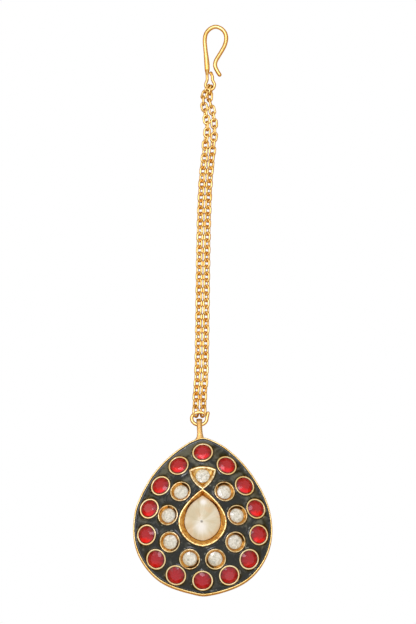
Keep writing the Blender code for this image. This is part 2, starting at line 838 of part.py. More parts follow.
def link_rings(near, far, width, tilt):
    """The five-sided sections of one link's wire, ten round the link, between its two grips.

    near and far are the points where its neighbours bear, and tilt turns the link about the
    line between them. Two sections stand close to each end, so that a flat faces each grip.
    """
    along = unit(far - near)
    level = unit(np.cross(along, (0.0, 0.0, 1.0)))
    up = np.cross(level, along)
    lean = math.radians(tilt)
    across = level * math.cos(lean) + up * math.sin(lean)
    face = np.cross(along, across)
    wire = LINK_WIRE / 2
    flat = wire * math.cos(math.pi / LINK_WIRE_SIDES)
    bend = (width - LINK_WIRE) / 2
    inner_half = np.linalg.norm(far - near) / 2 + SOLDER_GAP / 2
    end_turn = math.asin(wire * math.sin(math.pi / LINK_WIRE_SIDES) / (bend - flat))
    straight = inner_half - (bend - flat) * math.cos(end_turn)
    quarter = [end_turn, math.radians(LINK_BEND_TURN), math.radians(90)]
    turns = quarter + [math.pi - quarter[1], math.pi - quarter[0]]
    turns = turns + [turn + math.pi for turn in turns]
    middle = (near + far) / 2
    rings = []
    for turn in turns:
        outward = along * math.cos(turn) + across * math.sin(turn)
        shift = straight * np.sign(round(math.cos(turn), 6))
        centre = middle + along * shift + bend * outward
        corners = np.arange(LINK_WIRE_SIDES) * 2 * math.pi / LINK_WIRE_SIDES
        rings.append(
            centre
            + wire * np.cos(corners)[:, None] * outward
            + wire * np.sin(corners)[:, None] * face
        )
    return rings


def grip_lengths(length, side):
    """How far along a chain's route each grip lies.

    The right-hand chain has an odd number of links and the left-hand one an even number, so
    that each ends in a link that stands up round the eye. The links near the eye take up
    what is left over.
    """
    free = (length - END_LINK_INNER) / LINK_PITCH
    count = 2 * round(free / 2) + 1 if side > 0 else 2 * round((free + 1) / 2)
    plain = count - 1 - UNTWISTED_AFTER
    body = END_LINK_INNER + LINK_PITCH * np.arange(plain + 1)
    last = np.linspace(body[-1], length, UNTWISTED_AFTER + 1)[1:]
    return np.concatenate([[0.0], body, last])


def strand_mesh(name, side):
    """A cable chain whose links pass through each other and are soldered where they bear."""
    route = strand_route(side)
    length = lengths_along(route)[-1]
    grips = at_lengths(route, grip_lengths(length, side))
    count = len(grips) - 1
    shell = Shell()
    inward_flat = LINK_WIRE_SIDES // 2
    waiting = None
    for number, (near, far) in enumerate(zip(grips, grips[1:])):
        from_top = count - 1 - number
        twist_share = np.clip((UNTWISTED_AFTER - from_top) / (UNTWISTED_AFTER - TWISTED_LINKS), 0, 1)
        twist = (RIGHT_TWIST if side > 0 else LEFT_TWIST) * twist_share
        twist += TOP_TWIST * np.clip((TOP_TWIST_LINKS - from_top) / (TOP_TWIST_LINKS - 1), 0, 1)
        tilt = OUTER_LINK_TILT if number % 2 == 0 else INNER_LINK_TILT
        width = LINK_WIDTH
        if number == 0:
            tilt, width = END_LINK_TILT, END_LINK_WIDTH
        rings = [shell.add(points) for points in link_rings(near, far, width, side * tilt + twist)]
        opening_near = opening_far = None
        for index, ring in enumerate(rings):
            ahead = rings[(index + 1) % len(rings)]
            for corner in range(LINK_WIRE_SIDES):
                beyond = (corner + 1) % LINK_WIRE_SIDES
                quad = (ring[corner], ahead[corner], ahead[beyond], ring[beyond])
                if corner == inward_flat and index == len(rings) - 1 and number < count - 1:
                    opening_far = quad
                elif corner == inward_flat and index == len(rings) // 2 - 1 and number > 0:
                    opening_near = quad
                else:
                    shell.faces.append(quad)
        if opening_near:
            solder(shell, waiting, opening_near)
        waiting = opening_far
    return shell.to_mesh(name)


def solder(shell, first, second):
    """Joins two facing square openings by the pairing of corners that twists least."""
    points = shell.points

    def stretch(shift):
        return sum(
            math.dist(points[first[i]], points[second[(shift - i + 1) % 4]]) for i in range(4)
        )

    shift = min(range(4), key=stretch)
    for i in range(4):
        shell.faces.append(
            (
                first[i],
                first[(i + 1) % 4],
                second[(shift - i) % 4],
                second[(shift - i + 1) % 4],
            )
        )


def material(name, colour, metallic, roughness, transmission=0.0):
    """A plain Principled material, its colour as linear red, green and blue."""
    made = bpy.data.materials.new(name)
    made.use_nodes = True
    shader = made.node_tree.nodes["Principled BSDF"]
    shader.inputs["Base Color"].default_value = (*colour, 1.0)
    shader.inputs["Metallic"].default_value = metallic
    shader.inputs["Roughness"].default_value = roughness
    shader.inputs["Transmission Weight"].default_value = transmission
    return made


def part_object(name, mesh, finish, parent, frame=None):
    """An object for one piece, placed by its frame where it has one."""
    if not mesh.materials:
        mesh.materials.append(finish)
    piece = bpy.data.objects.new(name, mesh)
    bpy.context.scene.collection.objects.link(piece)
    piece.parent = parent
    if frame is not None:
        matrix = np.eye(4)
        matrix[:3, 0], matrix[:3, 1], matrix[:3, 2] = frame.u, frame.v, frame.n
        matrix[:3, 3] = frame.origin
        piece.matrix_world = Matrix(matrix)
    return piece


def shade_round(mesh, degrees):
    mesh.shade_smooth()
    mesh.set_sharp_from_angle(angle=math.radians(degrees))


def below(bezel, level):
    """The bezel's frame, moved down into it."""
    return Frame(bezel.centre(level), bezel.frame.n, bezel.frame.u)


def build():
    for old in list(bpy.data.objects):
        bpy.data.objects.remove(old, do_unlink=True)

    gold = material("gold", (0.83, 0.53, 0.16), 1.0, 0.22)
    enamel = material("charcoal enamel", (0.045, 0.052, 0.04), 0.0, 0.12)
    red_stone = material("red stone", (0.42, 0.02, 0.035), 0.0, 0.06, 0.3)
    white_stone = material("white stone", (0.72, 0.71, 0.66), 0.0, 0.1, 0.2)
    cream_stone = material("cream stone", (0.74, 0.66, 0.5), 0.0, 0.12, 0.2)

    tikka = bpy.data.objects.new("tikka", None)
    bpy.context.scene.collection.objects.link(tikka)

    bail = part_object("bail", bail_mesh(), gold, tikka)
    bail.hide_render = True
    bail.display_type = "WIRE"
    setting = part_object("setting", setting_mesh(), gold, tikka)
    solder_bail = setting.modifiers.new("bail", "BOOLEAN")
    solder_bail.operation = "UNION"
    solder_bail.solver = "EXACT"
    solder_bail.object = bail
    shade_round(setting.data, 35)

    field = part_object("enamel", enamel_mesh(), enamel, tikka)
    shade_round(field.data, 35)

    ruby = cut_stone_mesh(
        "ruby",
        circle(ruby_stone_radius, BEZEL_SIDES),
        RUBY_TABLE_SHARE,
        RUBY_CROWN,
        RUBY_SEAT_DEPTH * ruby_stone_radius / (ruby_radius - RUBY_LIP) - STONE_GAP,
    )
    polki = cut_stone_mesh(
        "polki",
        circle(polki_stone_radius, BEZEL_SIDES),
        POLKI_TABLE_SHARE,
        POLKI_CROWN,
        POLKI_BACK,
    )
    pear_stone = cut_stone_mesh(
        "pear stone",
        inset(pear.shape, PEAR_LIP + PEAR_SLOPE + STONE_GAP),
        PEAR_TABLE_SHARE,
        PEAR_CROWN,
        PEAR_BACK,
        PEAR_TIERS,
    )
    for bezel in rubies:
        part_object(bezel.name, ruby, red_stone, tikka, bezel.frame)
    for bezel in polkis + [trillion]:
        part_object(bezel.name, polki, white_stone, tikka, below(bezel, POLKI_RECESS))
    part_object(pear.name, pear_stone, cream_stone, tikka, below(pear, PEAR_RECESS - STONE_GAP))

    ring_points = jump_ring_points()
    ring = wire_object(
        "jump_ring", ring_points, np.full(len(ring_points), RING_WIRE / 2), 1, gold
    )
    ring.parent = tikka
    points, radii = hook_points()
    hook = wire_object("hook", points, radii, 1, gold)
    hook.parent = tikka
    for name, side in (("chain_left", -1), ("chain_right", 1)):
        chain = part_object(name, strand_mesh(name, side), gold, tikka)
        shade_round(chain.data, 80)


build()
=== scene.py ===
"""The looks of the maang tikka: gold, charcoal enamel, red, white and cream stones.

X runs to the right, Y from the pendant towards the hook and Z up, as in the solid model.
Lengths are in metres. Each new piece is a surface worked out with numpy.
"""
import math
from functools import partial

import bpy
import numpy as np
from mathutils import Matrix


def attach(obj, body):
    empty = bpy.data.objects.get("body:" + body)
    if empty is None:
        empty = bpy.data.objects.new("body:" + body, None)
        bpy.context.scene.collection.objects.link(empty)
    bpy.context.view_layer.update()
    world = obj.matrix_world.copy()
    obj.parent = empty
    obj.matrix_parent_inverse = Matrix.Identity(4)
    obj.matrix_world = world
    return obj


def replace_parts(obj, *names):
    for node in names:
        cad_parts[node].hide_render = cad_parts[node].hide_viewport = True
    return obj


MM = 0.001

# The pendant and its bezels
RIM_WIDTH = 0.5 * MM
RIM_HEIGHT = 2.6 * MM
FIELD_DROP = 0.15 * MM
DOME_RISE = 4.9 * MM
BEZEL_WIDTH = 5.34 * MM
BEZEL_TAPER = 0.16 * MM
WALL_DROP = 1.4 * MM
WALL_SAG = 0.12
WEB = 0.3 * MM
LIP_HEIGHT = 0.5 * MM
BRINK_DROP = 0.03 * MM
BRINK_TONE = 0.2
SEAT_SHARE = 0.9
SEAT_DROP = 0.25 * MM
SEAT_MIDDLE_DROP = 0.3 * MM
COLLAR_POINTS = 72
OUTLINE_POINTS = 480
RUBY_COUNT = 14
RUBY_LIP = 0.42 * MM
RUBY_HOLE_DEPTH = 1.1 * MM
POLKI_COUNT = 8
POLKI_LIP = 0.28 * MM
POLKI_RECESS = 0.6 * MM
STONE_SEAT_RADIUS = 1.86 * MM
TRILLION_WIDTH = 6.9 * MM
TRILLION_LENGTH = 6.0 * MM
TRILLION_BULGE = 0.95 * MM
TRILLION_SIDE_BULGE = 0.85 * TRILLION_BULGE
TRILLION_LIP = 0.48 * MM
TRILLION_TIP = 0.45 * MM
TRILLION_STONE_RISE = 0.5 * MM
# painted light: a low wall tone paints the trillion's inside paler, as if lit
TRILLION_WALL_TONE = 0.2

# The large stone and its collar: its point is given from the collar's middle, and its reach
# is half its length
PEAR_WIDTH = 12.3 * MM
PEAR_LENGTH = 14.9 * MM
PEAR_MIDDLE = 1.17 * MM
PEAR_LIP = 0.4 * MM
PEAR_LIP_HEIGHT = 0.6 * MM
PEAR_LIP_TONE = 0.14
PEAR_SLOPE = 1.05 * MM
PEAR_RECESS = 1.0 * MM
PEAR_CROWN = 1.3 * MM
PEAR_POINT = (-0.25 * MM, -1.0 * MM)
PEAR_REACH = 6.0 * MM
PEAR_SHOULDER = 0.66 * MM
PEAR_SHOULDER_Y = 4.0 * MM
PEAR_SHOULDER_REACH = 2.5 * MM
PEAR_LIT_TURN = math.radians(20)
PEAR_LIT_SHARE = 0.55
PEAR_SCALLOP = 0.06 * MM
PEAR_GAP = 0.04 * MM
PEAR_GIRDLE_RISE = 0.08 * MM
PEAR_SWELL = 1.8
PEAR_BACK = 0.5 * MM

# The round stones, with how unevenly they are cut
RUBY_CROWN = 0.5 * MM
RUBY_BACK = 0.9 * MM
RUBY_JITTER = 0.02
POLKI_RADIUS = 1.84 * MM
POLKI_CROWN = 0.34 * MM
POLKI_BACK = 0.2 * MM
POLKI_JITTER = 0.09
STAR_REACH = 0.74
STAR_RISE = 0.68
TABLE_REACH = 0.54

# The enamel: how far it creeps up the metal, and how steeply it falls inside a collar
ENAMEL_RINGS = 150
ENAMEL_START = 0.12
ENAMEL_CROWDING = 0.85
ENAMEL_UNDER_RIM = 0.01 * MM
ENAMEL_SINK = 0.04 * MM
CREEP_HEIGHT = 0.3 * MM
CREEP_REACH = 0.42 * MM
COLLAR_NEAR = 12 * MM
FALL_START = 0.06 * MM
FALL_REACH = 0.12 * MM
FALL_SLOPE = 16
ENAMEL_EDGE_DEPTH = 0.5 * MM
ENAMEL_FLOOR = 1.95 * MM

# The jump ring, with its turns in degrees, and the bail
RING_WIRE = 0.9 * MM
RING_WIDTH = 4.8 * MM
RING_LENGTH = 4.2 * MM
RING_X = -0.86 * MM
RING_Z = 1.37 * MM
RING_START = 36
RING_TURN = 366
RING_FREE_TURN = 43
RING_FREE_GAP = 0.22 * MM
RING_FREE_LIFT = 0.12 * MM
RING_SLACK = 0.8 * MM
BAIL_WIDTH = 1.35 * MM
BAIL_STRIP = 0.4 * MM
BAIL_REACH = 5.1 * MM
BAIL_ROOT = 0.42 * MM
BAIL_LEAN = 0.25 * MM
BAIL_OVER_RING = 0.2 * MM
BAIL_OFF_FLOOR = 0.12 * MM
BAIL_FLARE = 0.95
BAIL_FLARE_REACH = 0.6 * MM
BAIL_CAP = 0.13
BAIL_CAP_REACH = 0.8 * MM
BAIL_SIDES = 16

# The hook and its eye
HOOK_WIRE = 1.08 * MM
HOOK_OFF_FLOOR = 0.01 * MM
SHANK_FLAT_Y = 121.8 * MM
SHANK_FLAT_REACH = 2.6 * MM
SHANK_FLATTENED = 0.26
EYE_WIRE = 0.78 * MM
EYE_INNER_WIDTH = 1.56 * MM
EYE_LENGTH = 3.4 * MM
EYE_TAPER_END = 1.25
EYE_TAPER = 0.45
EYE_X = 1.92 * MM
EYE_Y = 116.05 * MM
EYE_Z = 1.1 * MM

# The chains, with tilts, twists and turns in degrees, and link numbers counted from the eye
LINK_WIRE = 0.6 * MM
LINK_WIDTH = 2.0 * MM
LINK_PITCH = 1.752 * MM
LINK_SIDES = 12
LINK_BEND_POINTS = 13
SOLID_LINK_SIDES = 5
END_LINK_WIDTH = 2.7 * MM
END_LINK_INNER = 2.4 * MM
RING_LINK_REST = 0.14 * MM
RING_LINK_TURN = 44
CHAIN_Z = 0.86 * MM
STRAND_HALF_SPACING = 0.937 * MM
OUTER_LINK_TILT = 25
INNER_LINK_TILT = -42
END_LINK_TILT = 56
RIGHT_TWIST = 52
LEFT_TWIST = 30
TWISTED_LINKS = 6
UNTWISTED_AFTER = 12
TOP_TWIST = 30
TOP_TWIST_LINKS = 4
EYE_LINK_OFFSET = 0.35 * MM
EYE_LINK_DROP = 0.12 * MM
EYE_LINK_REST = LINK_WIRE / 2 * math.cos(math.pi / SOLID_LINK_SIDES)
LEFT_EYE_STAGGER = 0.2 * MM
LEFT_TOP_RISE = 0.12 * MM
LEFT_RISE_POINTS = 3

# The camera and the floor
TARGET = (1.38 * MM, 56.08 * MM, 0.0)
CAMERA_DISTANCE = 1.2
CAMERA_ELEVATION = 78.5
CAMERA_LENS = 402.5
CAMERA_SENSOR = 36.0
FLOOR_REACH = 4.0

PEAR_OUTLINE = (
    # along, half width
    (0.000, 0.000), (0.035, 0.330), (0.120, 0.650), (0.250, 0.895), (0.400, 1.000),
    (0.550, 0.945), (0.700, 0.750), (0.850, 0.440), (0.950, 0.175), (1.000, 0.000),
)
COLLAR_OUTSIDE = (
    # millimetres below the lip, millimetres drawn in, tone
    (1.35, 0.0, 0.3), (0.9, 0.0, 0.3), (0.5, 0.0, 0.3), (0.3, 0.0, 0.3), (0.12, 0.005, 0.1),
    (0.04, 0.025, 0.0), (0.005, 0.07, 0.0),
)
RUBY_LIP_INSIDE = (
    # millimetres below the lip, millimetres drawn in, tone
    (0.0, 0.2, 0.0), (0.0, 0.33, 0.0), (0.02, 0.38, 0.0), (0.08, 0.41, 0.0), (0.25, 0.45, 0.5),
    (0.6, 0.52, 0.5), (1.0, 0.7, 0.5),
)
OPEN_LIP_SHARES = (0.62, 0.84)
OPEN_LIP_TONES = (0.0, 0.05)
OPEN_WALL_SHARES = (0.0, 0.12, 0.3, 0.5, 0.7, 0.88, 1.0)
SHADED_SIDES = (
    # a white stone's place across and along in millimetres, its wall's side with painted shadow in degrees
    (-4.6, 6.3, 45), (4.6, 6.3, 105), (-7.2, 0.9, 10), (7.2, 0.9, 95), (-7.0, -4.9, -30),
    (7.0, -4.9, 50), (-2.8, -8.8, -60), (2.8, -8.8, -130),
)
RIM_PROFILE = (
    # inset and height in millimetres
    (0.6, 0.0), (0.12, 0.0), (0.03, 0.04), (0.0, 0.14), (0.0, 0.8), (0.0, 1.6), (0.0, 2.28),
    (0.02, 2.42), (0.07, 2.53), (0.15, 2.59), (0.24, 2.6), (0.33, 2.58), (0.41, 2.52),
    (0.46, 2.42), (0.49, 2.25), (0.5, 1.8),
)
MIDDLE_ROUTE = (
    # across and along in millimetres, here and in the next three routes
    (-0.70, 34.2), (-0.38, 38.1), (-0.22, 43.8), (-0.11, 51.2), (-0.01, 59.1), (0.09, 67.5),
    (0.22, 75.4), (0.40, 82.3), (0.63, 87.9), (0.90, 92.2), (1.28, 95.7), (1.58, 98.6),
)
LEFT_TOP_ROUTE = (
    (0.76, 101.0), (1.10, 102.9), (1.22, 104.3), (1.12, 106.0), (0.88, 107.7), (0.62, 109.4),
    (0.22, 111.0), (0.15, 112.4), (0.40, 113.8),
)
RIGHT_TOP_ROUTE = (
    (2.72, 101.0), (3.05, 102.7), (3.06, 104.3), (2.95, 106.2), (2.80, 107.9), (2.38, 109.7),
    (1.95, 111.4), (1.78, 113.0),
)
HOOK_ROUTE = (
    (4.68, 118.62), (3.76, 120.10), (3.25, 121.40), (3.37, 122.60), (3.98, 123.80),
    (4.90, 125.35), (5.70, 126.90), (6.12, 128.60), (5.90, 130.15), (4.92, 131.40),
    (3.40, 131.98), (1.92, 131.42), (0.88, 130.15), (0.54, 128.40), (0.68, 126.20),
    (1.00, 123.10), (1.15, 121.00),
)
# The eye's legs from its middle, across in half widths and along in lengths
EYE_LEFT_LEG = ((-0.66, 0.75), (-0.64, 0.45), (-0.94, 0.16))
EYE_RIGHT_LEG = ((0.94, 0.16), (0.56, 0.42), (0.50, 0.72), (0.02, 1.10))

SOFTBOXES = (
    # name, place, size, radiance, tint
    ("overhead_softbox", (-0.1, 0.21, 0.8), 0.34, 3.5, (0.98, 0.97, 1.14)),
    ("left_softbox", (-0.7, 0.3, 0.5), 0.4, 0.8, (1.0, 1.0, 1.0)),
    ("front_softbox", (0.3, -0.7, 0.6), 0.35, 0.5, (1.0, 1.0, 1.0)),
)

# Settings that the shader nodes share
EASED = {"interpolation_type": "SMOOTHSTEP"}
LINEAR = {"interpolation_type": "LINEAR"}
COLOURS = {"data_type": "RGBA"}
ADD = {"operation": "ADD"}
SUBTRACT = {"operation": "SUBTRACT"}
MULTIPLY = {"operation": "MULTIPLY"}
MULTIPLY_ADD = {"operation": "MULTIPLY_ADD"}
ROOT = {"operation": "SQRT"}
SINE = {"operation": "SINE"}
COSINE = {"operation": "COSINE"}
TURN = {"operation": "ARCTAN2"}

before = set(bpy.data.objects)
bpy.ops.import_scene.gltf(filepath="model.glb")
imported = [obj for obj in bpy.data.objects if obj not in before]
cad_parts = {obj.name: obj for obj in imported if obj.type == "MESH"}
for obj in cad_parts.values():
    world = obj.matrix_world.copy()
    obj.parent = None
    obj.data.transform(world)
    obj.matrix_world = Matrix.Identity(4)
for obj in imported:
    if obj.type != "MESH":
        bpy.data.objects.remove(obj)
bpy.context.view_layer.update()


def unit(vectors):
    """Each vector divided by its length."""
    vectors = np.asarray(vectors, float)
    return vectors / np.linalg.norm(vectors, axis=-1, keepdims=True)


def smooth_curve(points, per_span=16, closed=False):
    """The Catmull-Rom curve through the points, as closely spaced points."""
    points = np.asarray(points, float)
    if closed:
        padded = np.vstack([points[-1], points, points[:2]])
    else:
        padded = np.vstack([2 * points[0] - points[1], points, 2 * points[-1] - points[-2]])
    t = np.linspace(0.0, 1.0, per_span, endpoint=False)[:, None]
    a, b, c, d = (padded[i : len(padded) - 3 + i, None] for i in range(4))
    spans = 0.5 * (2 * b + (c - a) * t + (2 * a - 5 * b + 4 * c - d) * t**2 + (3 * b - a - 3 * c + d) * t**3)
    curve = spans.reshape(-1, points.shape[1])
    return curve if closed else np.vstack([curve, points[-1]])


def lengths_along(curve):
    """The length from a curve's start to each of its points."""
    return np.concatenate([[0.0], np.cumsum(np.linalg.norm(np.diff(curve, axis=0), axis=1))])


def at_lengths(curve, distances):
    """The points at these distances along the curve."""
    along = lengths_along(curve)
    return np.column_stack([np.interp(distances, along, column) for column in curve.T])


def inset(loop, distance):
    """An anticlockwise plan outline moved inwards by a distance, along its own normals."""
    ahead = unit(np.roll(loop, -1, axis=0) - np.roll(loop, 1, axis=0))
    return loop + distance * np.column_stack([-ahead[:, 1], ahead[:, 0]])


def sheet_faces(rows, columns, wrap_rows=False, start=0):
    """The quads of a grid whose columns close on themselves, and its rows too if asked."""
    r = np.arange(rows if wrap_rows else rows - 1)[:, None]
    c = np.arange(columns)[None, :]
    ahead_row = (r + 1) % rows
    ahead_column = (c + 1) % columns
    corners = [
        r * columns + c,
        r * columns + ahead_column,
        ahead_row * columns + ahead_column,
        ahead_row * columns + c,
    ]
    return start + np.stack(np.broadcast_arrays(*corners), axis=-1).reshape(-1, 4)


def mesh_piece(name, points, faces, finish, smooth=True, uv=None):
    """A piece from an array of points and an array of faces with as many corners each."""
    points = np.asarray(points, float).reshape(-1, 3)
    faces = np.asarray(faces)
    mesh = bpy.data.meshes.new(name)
    mesh.vertices.add(len(points))
    mesh.vertices.foreach_set("co", points.astype(np.float32).ravel())
    mesh.loops.add(faces.size)
    mesh.loops.foreach_set("vertex_index", faces.astype(np.int32).ravel())
    mesh.polygons.add(len(faces))
    starts = np.arange(len(faces), dtype=np.int32) * faces.shape[1]
    mesh.polygons.foreach_set("loop_start", starts)
    mesh.polygons.foreach_set("use_smooth", np.full(len(faces), smooth))
    mesh.update(calc_edges=True)
    if uv is not None:
        layer = mesh.uv_layers.new(name="UVMap")
        layer.data.foreach_set("uv", uv[faces.ravel()].astype(np.float32).ravel())
    mesh.validate()
    mesh.materials.append(finish)
    piece = bpy.data.objects.new(name, mesh)
    bpy.context.scene.collection.objects.link(piece)
    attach(piece, "root")
    return piece


def colour(text):
    """An sRGB hex value such as e8b860 as linear red, green, blue and alpha."""
    shares = np.array([int(text[i : i + 2], 16) for i in (0, 2, 4)]) / 255
    linear = np.where(shares <= 0.04045, shares / 12.92, ((shares + 0.055) / 1.055) ** 2.4)
    return (*linear, 1.0)


def add_node(tree, kind, settings=None, *values, out=0, stops=(), **inputs):
    """A shader node with its settings, a ramp's colour stops, its values and its links.

    The values are for its first inputs in order. Any other input is named with spaces as
    underscores, or by its number after an n. Each takes a socket of another node, a number
    or a hex colour. The output asked for is returned.
    """
    node = tree.nodes.new("ShaderNode" + kind)
    for name, value in (settings or {}).items():
        setattr(node, name, value)
    inputs |= {f"n{number}": value for number, value in enumerate(values)}
    for name, value in inputs.items():
        numbered = name[0] == "n" and name[1:].isdigit()
        socket = node.inputs[int(name[1:]) if numbered else name.replace("_", " ")]
        if isinstance(value, bpy.types.NodeSocket):
            tree.links.new(value, socket)
        else:
            socket.default_value = colour(value) if isinstance(value, str) else value
    if stops:
        elements = node.color_ramp.elements
        for _ in stops[2:]:
            elements.new(0.5)
        for element, (position, hex_value) in zip(elements, stops):
            element.position = position
            element.color = colour(hex_value)
    return node.outputs[out] if node.outputs else None


def new_material(name, **shader_values):
    """A material with its Principled shader's own sockets set, and add_node for its tree."""
    made = bpy.data.materials.new(name)
    made.use_nodes = True
    shader = made.node_tree.nodes["Principled BSDF"]
    for socket, value in shader_values.items():
        shader.inputs[socket.replace("_", " ")].default_value = value
    return made, partial(add_node, made.node_tree)


def finished(made, base, *layers, **sockets):
    """The material, once its Principled shader's inputs are linked to these sockets.

    Its colour is the base, with each layer's colour laid over it by the layer's share.
    """
    tree = made.node_tree
    for share, over in layers:
        base = add_node(tree, "Mix", COLOURS, out=2, n0=share, n6=base, n7=over)
    sockets["Base_Color"] = base
    for name, socket in sockets.items():
        tree.links.new(socket, tree.nodes["Principled BSDF"].inputs[name.replace("_", " ")])
    return made


def polished_gold(name, deep, pale, roughness, grain_mm, dent):
    """Gold plate on brass, polished by hand: a warm mirror with faint ripples and file marks.

    The ripples are grain_mm across. Where the plate is thin its colour is deeper, and in the
    hollows the polish is duller.
    """
    made, node = new_material(name, Metallic=1.0)
    place = node("TexCoord", out="Object")
    tone = node("TexNoise", Vector=place, Scale=1 / (2.4 * MM), Detail=2.0)
    base = node("ValToRGB", stops=[(0.3, deep), (0.7, pale)], n0=tone)
    ripple = node("TexNoise", Vector=place, Scale=1 / (grain_mm * MM), Detail=3.0)
    dull = node("MapRange", LINEAR, ripple, 0.3, 0.8, roughness * 0.7, roughness * 1.5)
    bump = node("Bump", Strength=dent, Distance=0.05 * MM, Height=ripple)
    return finished(made, base, Roughness=dull, Normal=bump)


def charcoal_enamel():
    """Vitreous enamel, fired and left glossy: a nearly black glass with a painted grey-green sheen.

    The painted sheen, a reflection laid into the colour, lies in clouds between the stones and
    grows towards the bail; it is kept off the metal, which leaves painted shade beside it. Painted
    pale highlight streaks run beside the metal, where the glass creeps up it.
    """
    made, node = new_material(
        "charcoal vitreous enamel", Roughness=0.12, IOR=1.45, Coat_Weight=0.2, Coat_Roughness=0.05
    )
    place = node("TexCoord", out="Object")
    along = node("SeparateXYZ", out=1, n0=place)
    from_metal = node("SeparateXYZ", n0=place.node.outputs["UV"])
    speckle = node("TexNoise", Vector=place, Scale=1 / (0.55 * MM), Detail=4.0)
    dark = [(0.35, "070802"), (0.52, "101307"), (0.72, "26291a")]
    base = node("ValToRGB", stops=dark, n0=speckle)
    # painted sheen: clouds of grey-green reflection that rise towards the bail and stay off the metal,
    # leaving painted shade beside it
    cloud = node("TexNoise", Vector=place, Scale=1 / (3.2 * MM), Detail=3.0, Distortion=0.6)
    painted_sheen_rise = node("MapRange", EASED, along, -12 * MM, 20 * MM, 0.0, 0.16)
    cloud = node("Math", ADD, cloud, painted_sheen_rise)
    cloud = node("MapRange", EASED, cloud, 0.56, 0.76, 0.0, 0.85)
    away = node("MapRange", EASED, from_metal, 0.1, 0.6)
    painted_sheen = node("Math", MULTIPLY, cloud, away)
    # painted highlight streaks on the enamel where it creeps up beside the metal
    painted_highlight_streak = node("TexNoise", Vector=place, Scale=1 / (1.5 * MM), Detail=2.0, Distortion=0.4)
    painted_highlight_streak = node("MapRange", EASED, painted_highlight_streak, 0.6, 0.68, 0.0, 0.8)
    off_metal = node("MapRange", EASED, from_metal, 0.12, 0.28)
    near_metal = node("MapRange", EASED, from_metal, 0.6, 0.35)
    beside = node("Math", MULTIPLY, off_metal, near_metal)
    painted_highlight_streak = node("Math", MULTIPLY, painted_highlight_streak, beside)
    waves = node("TexNoise", Vector=place, Scale=1 / (1.4 * MM), Detail=3.0)
    bump = node("Bump", Strength=0.35, Distance=0.2 * MM, Height=waves)
    return finished(made, base, (painted_sheen, "64665a"), (painted_highlight_streak, "8c9088"), Normal=bump, Coat_Normal=bump)


def collar_gold():
    """The gold of the open collars: burnished pale on the lip, with painted shade making it deeper
    and browner down the wall.

    Hammer marks from setting the stone ripple the wall, and a painted shadow darkens it on one
    side.
    """
    made, node = new_material("hammered collar gold", Metallic=1.0, Roughness=0.2)
    place = node("TexCoord", out="Object")
    down = node("SeparateXYZ", n0=place.node.outputs["UV"])
    shaded = down.node.outputs[1]
    # painted shade: the colour deepens from the pale lip down the wall to the seat
    tones = [(0.0, "fae6b4"), (0.16, "f0c678"), (0.5, "e0a856"), (1.0, "c88e4a")]
    base = node("ValToRGB", stops=tones, n0=down)
    mottle = node("TexNoise", Vector=place, Scale=1 / (0.9 * MM), Detail=3.0)
    mottle = node("MapRange", EASED, mottle, 0.45, 0.68, 0.0, 0.7)
    # painted shadow: dark patches on the wall's shaded side, between the lip and the seat
    painted_shadow_patches = node("TexNoise", Vector=place, Scale=1 / (1.6 * MM), Detail=2.0, Distortion=0.8)
    painted_shadow_patches = node("Math", MULTIPLY_ADD, painted_shadow_patches, 0.9, shaded)
    painted_wall_shadow = node("MapRange", EASED, painted_shadow_patches, 1.16, 1.3, 0.0, 0.94)
    below_lip = node("MapRange", EASED, down, 0.16, 0.26)
    above_seat = node("MapRange", EASED, down, 0.98, 0.78)
    on_wall = node("Math", MULTIPLY, below_lip, above_seat)
    painted_wall_shadow = node("Math", MULTIPLY, painted_wall_shadow, on_wall)
    marks = node("TexNoise", Vector=place, Scale=1 / (0.5 * MM), Detail=3.0)
    bump = node("Bump", Strength=0.45, Distance=0.08 * MM, Height=marks)
    return finished(made, base, (mottle, "a8682c"), (painted_wall_shadow, "2c1c0c"), Normal=bump)


def distance_out(node, across, along):
    """The root of the sum of two sockets' squares."""
    across_squared = node("Math", MULTIPLY, across, across)
    along_squared = node("Math", MULTIPLY, along, along)
    return node("Math", ROOT, node("Math", ADD, across_squared, along_squared))


def stone_place(node):
    """Sockets for the place on a stone: across, along (both -1 to 1), and out from its middle."""
    parts = node("SeparateXYZ", n0=node("TexCoord", out="UV")).node.outputs
    across = node("Math", MULTIPLY_ADD, parts[0], 2.0, -1.0)
    along = node("Math", MULTIPLY_ADD, parts[1], 2.0, -1.0)
    return across, along, distance_out(node, across, along)


def patch(node, across, along, x, y, reach, most):
    """A soft round patch on a stone, as a share that fades to nothing at its reach."""
    aside = node("Math", SUBTRACT, across, x)
    ahead = node("Math", SUBTRACT, along, y)
    out = distance_out(node, aside, ahead)
    return node("MapRange", EASED, out, reach, reach * 0.15, 0.0, most)


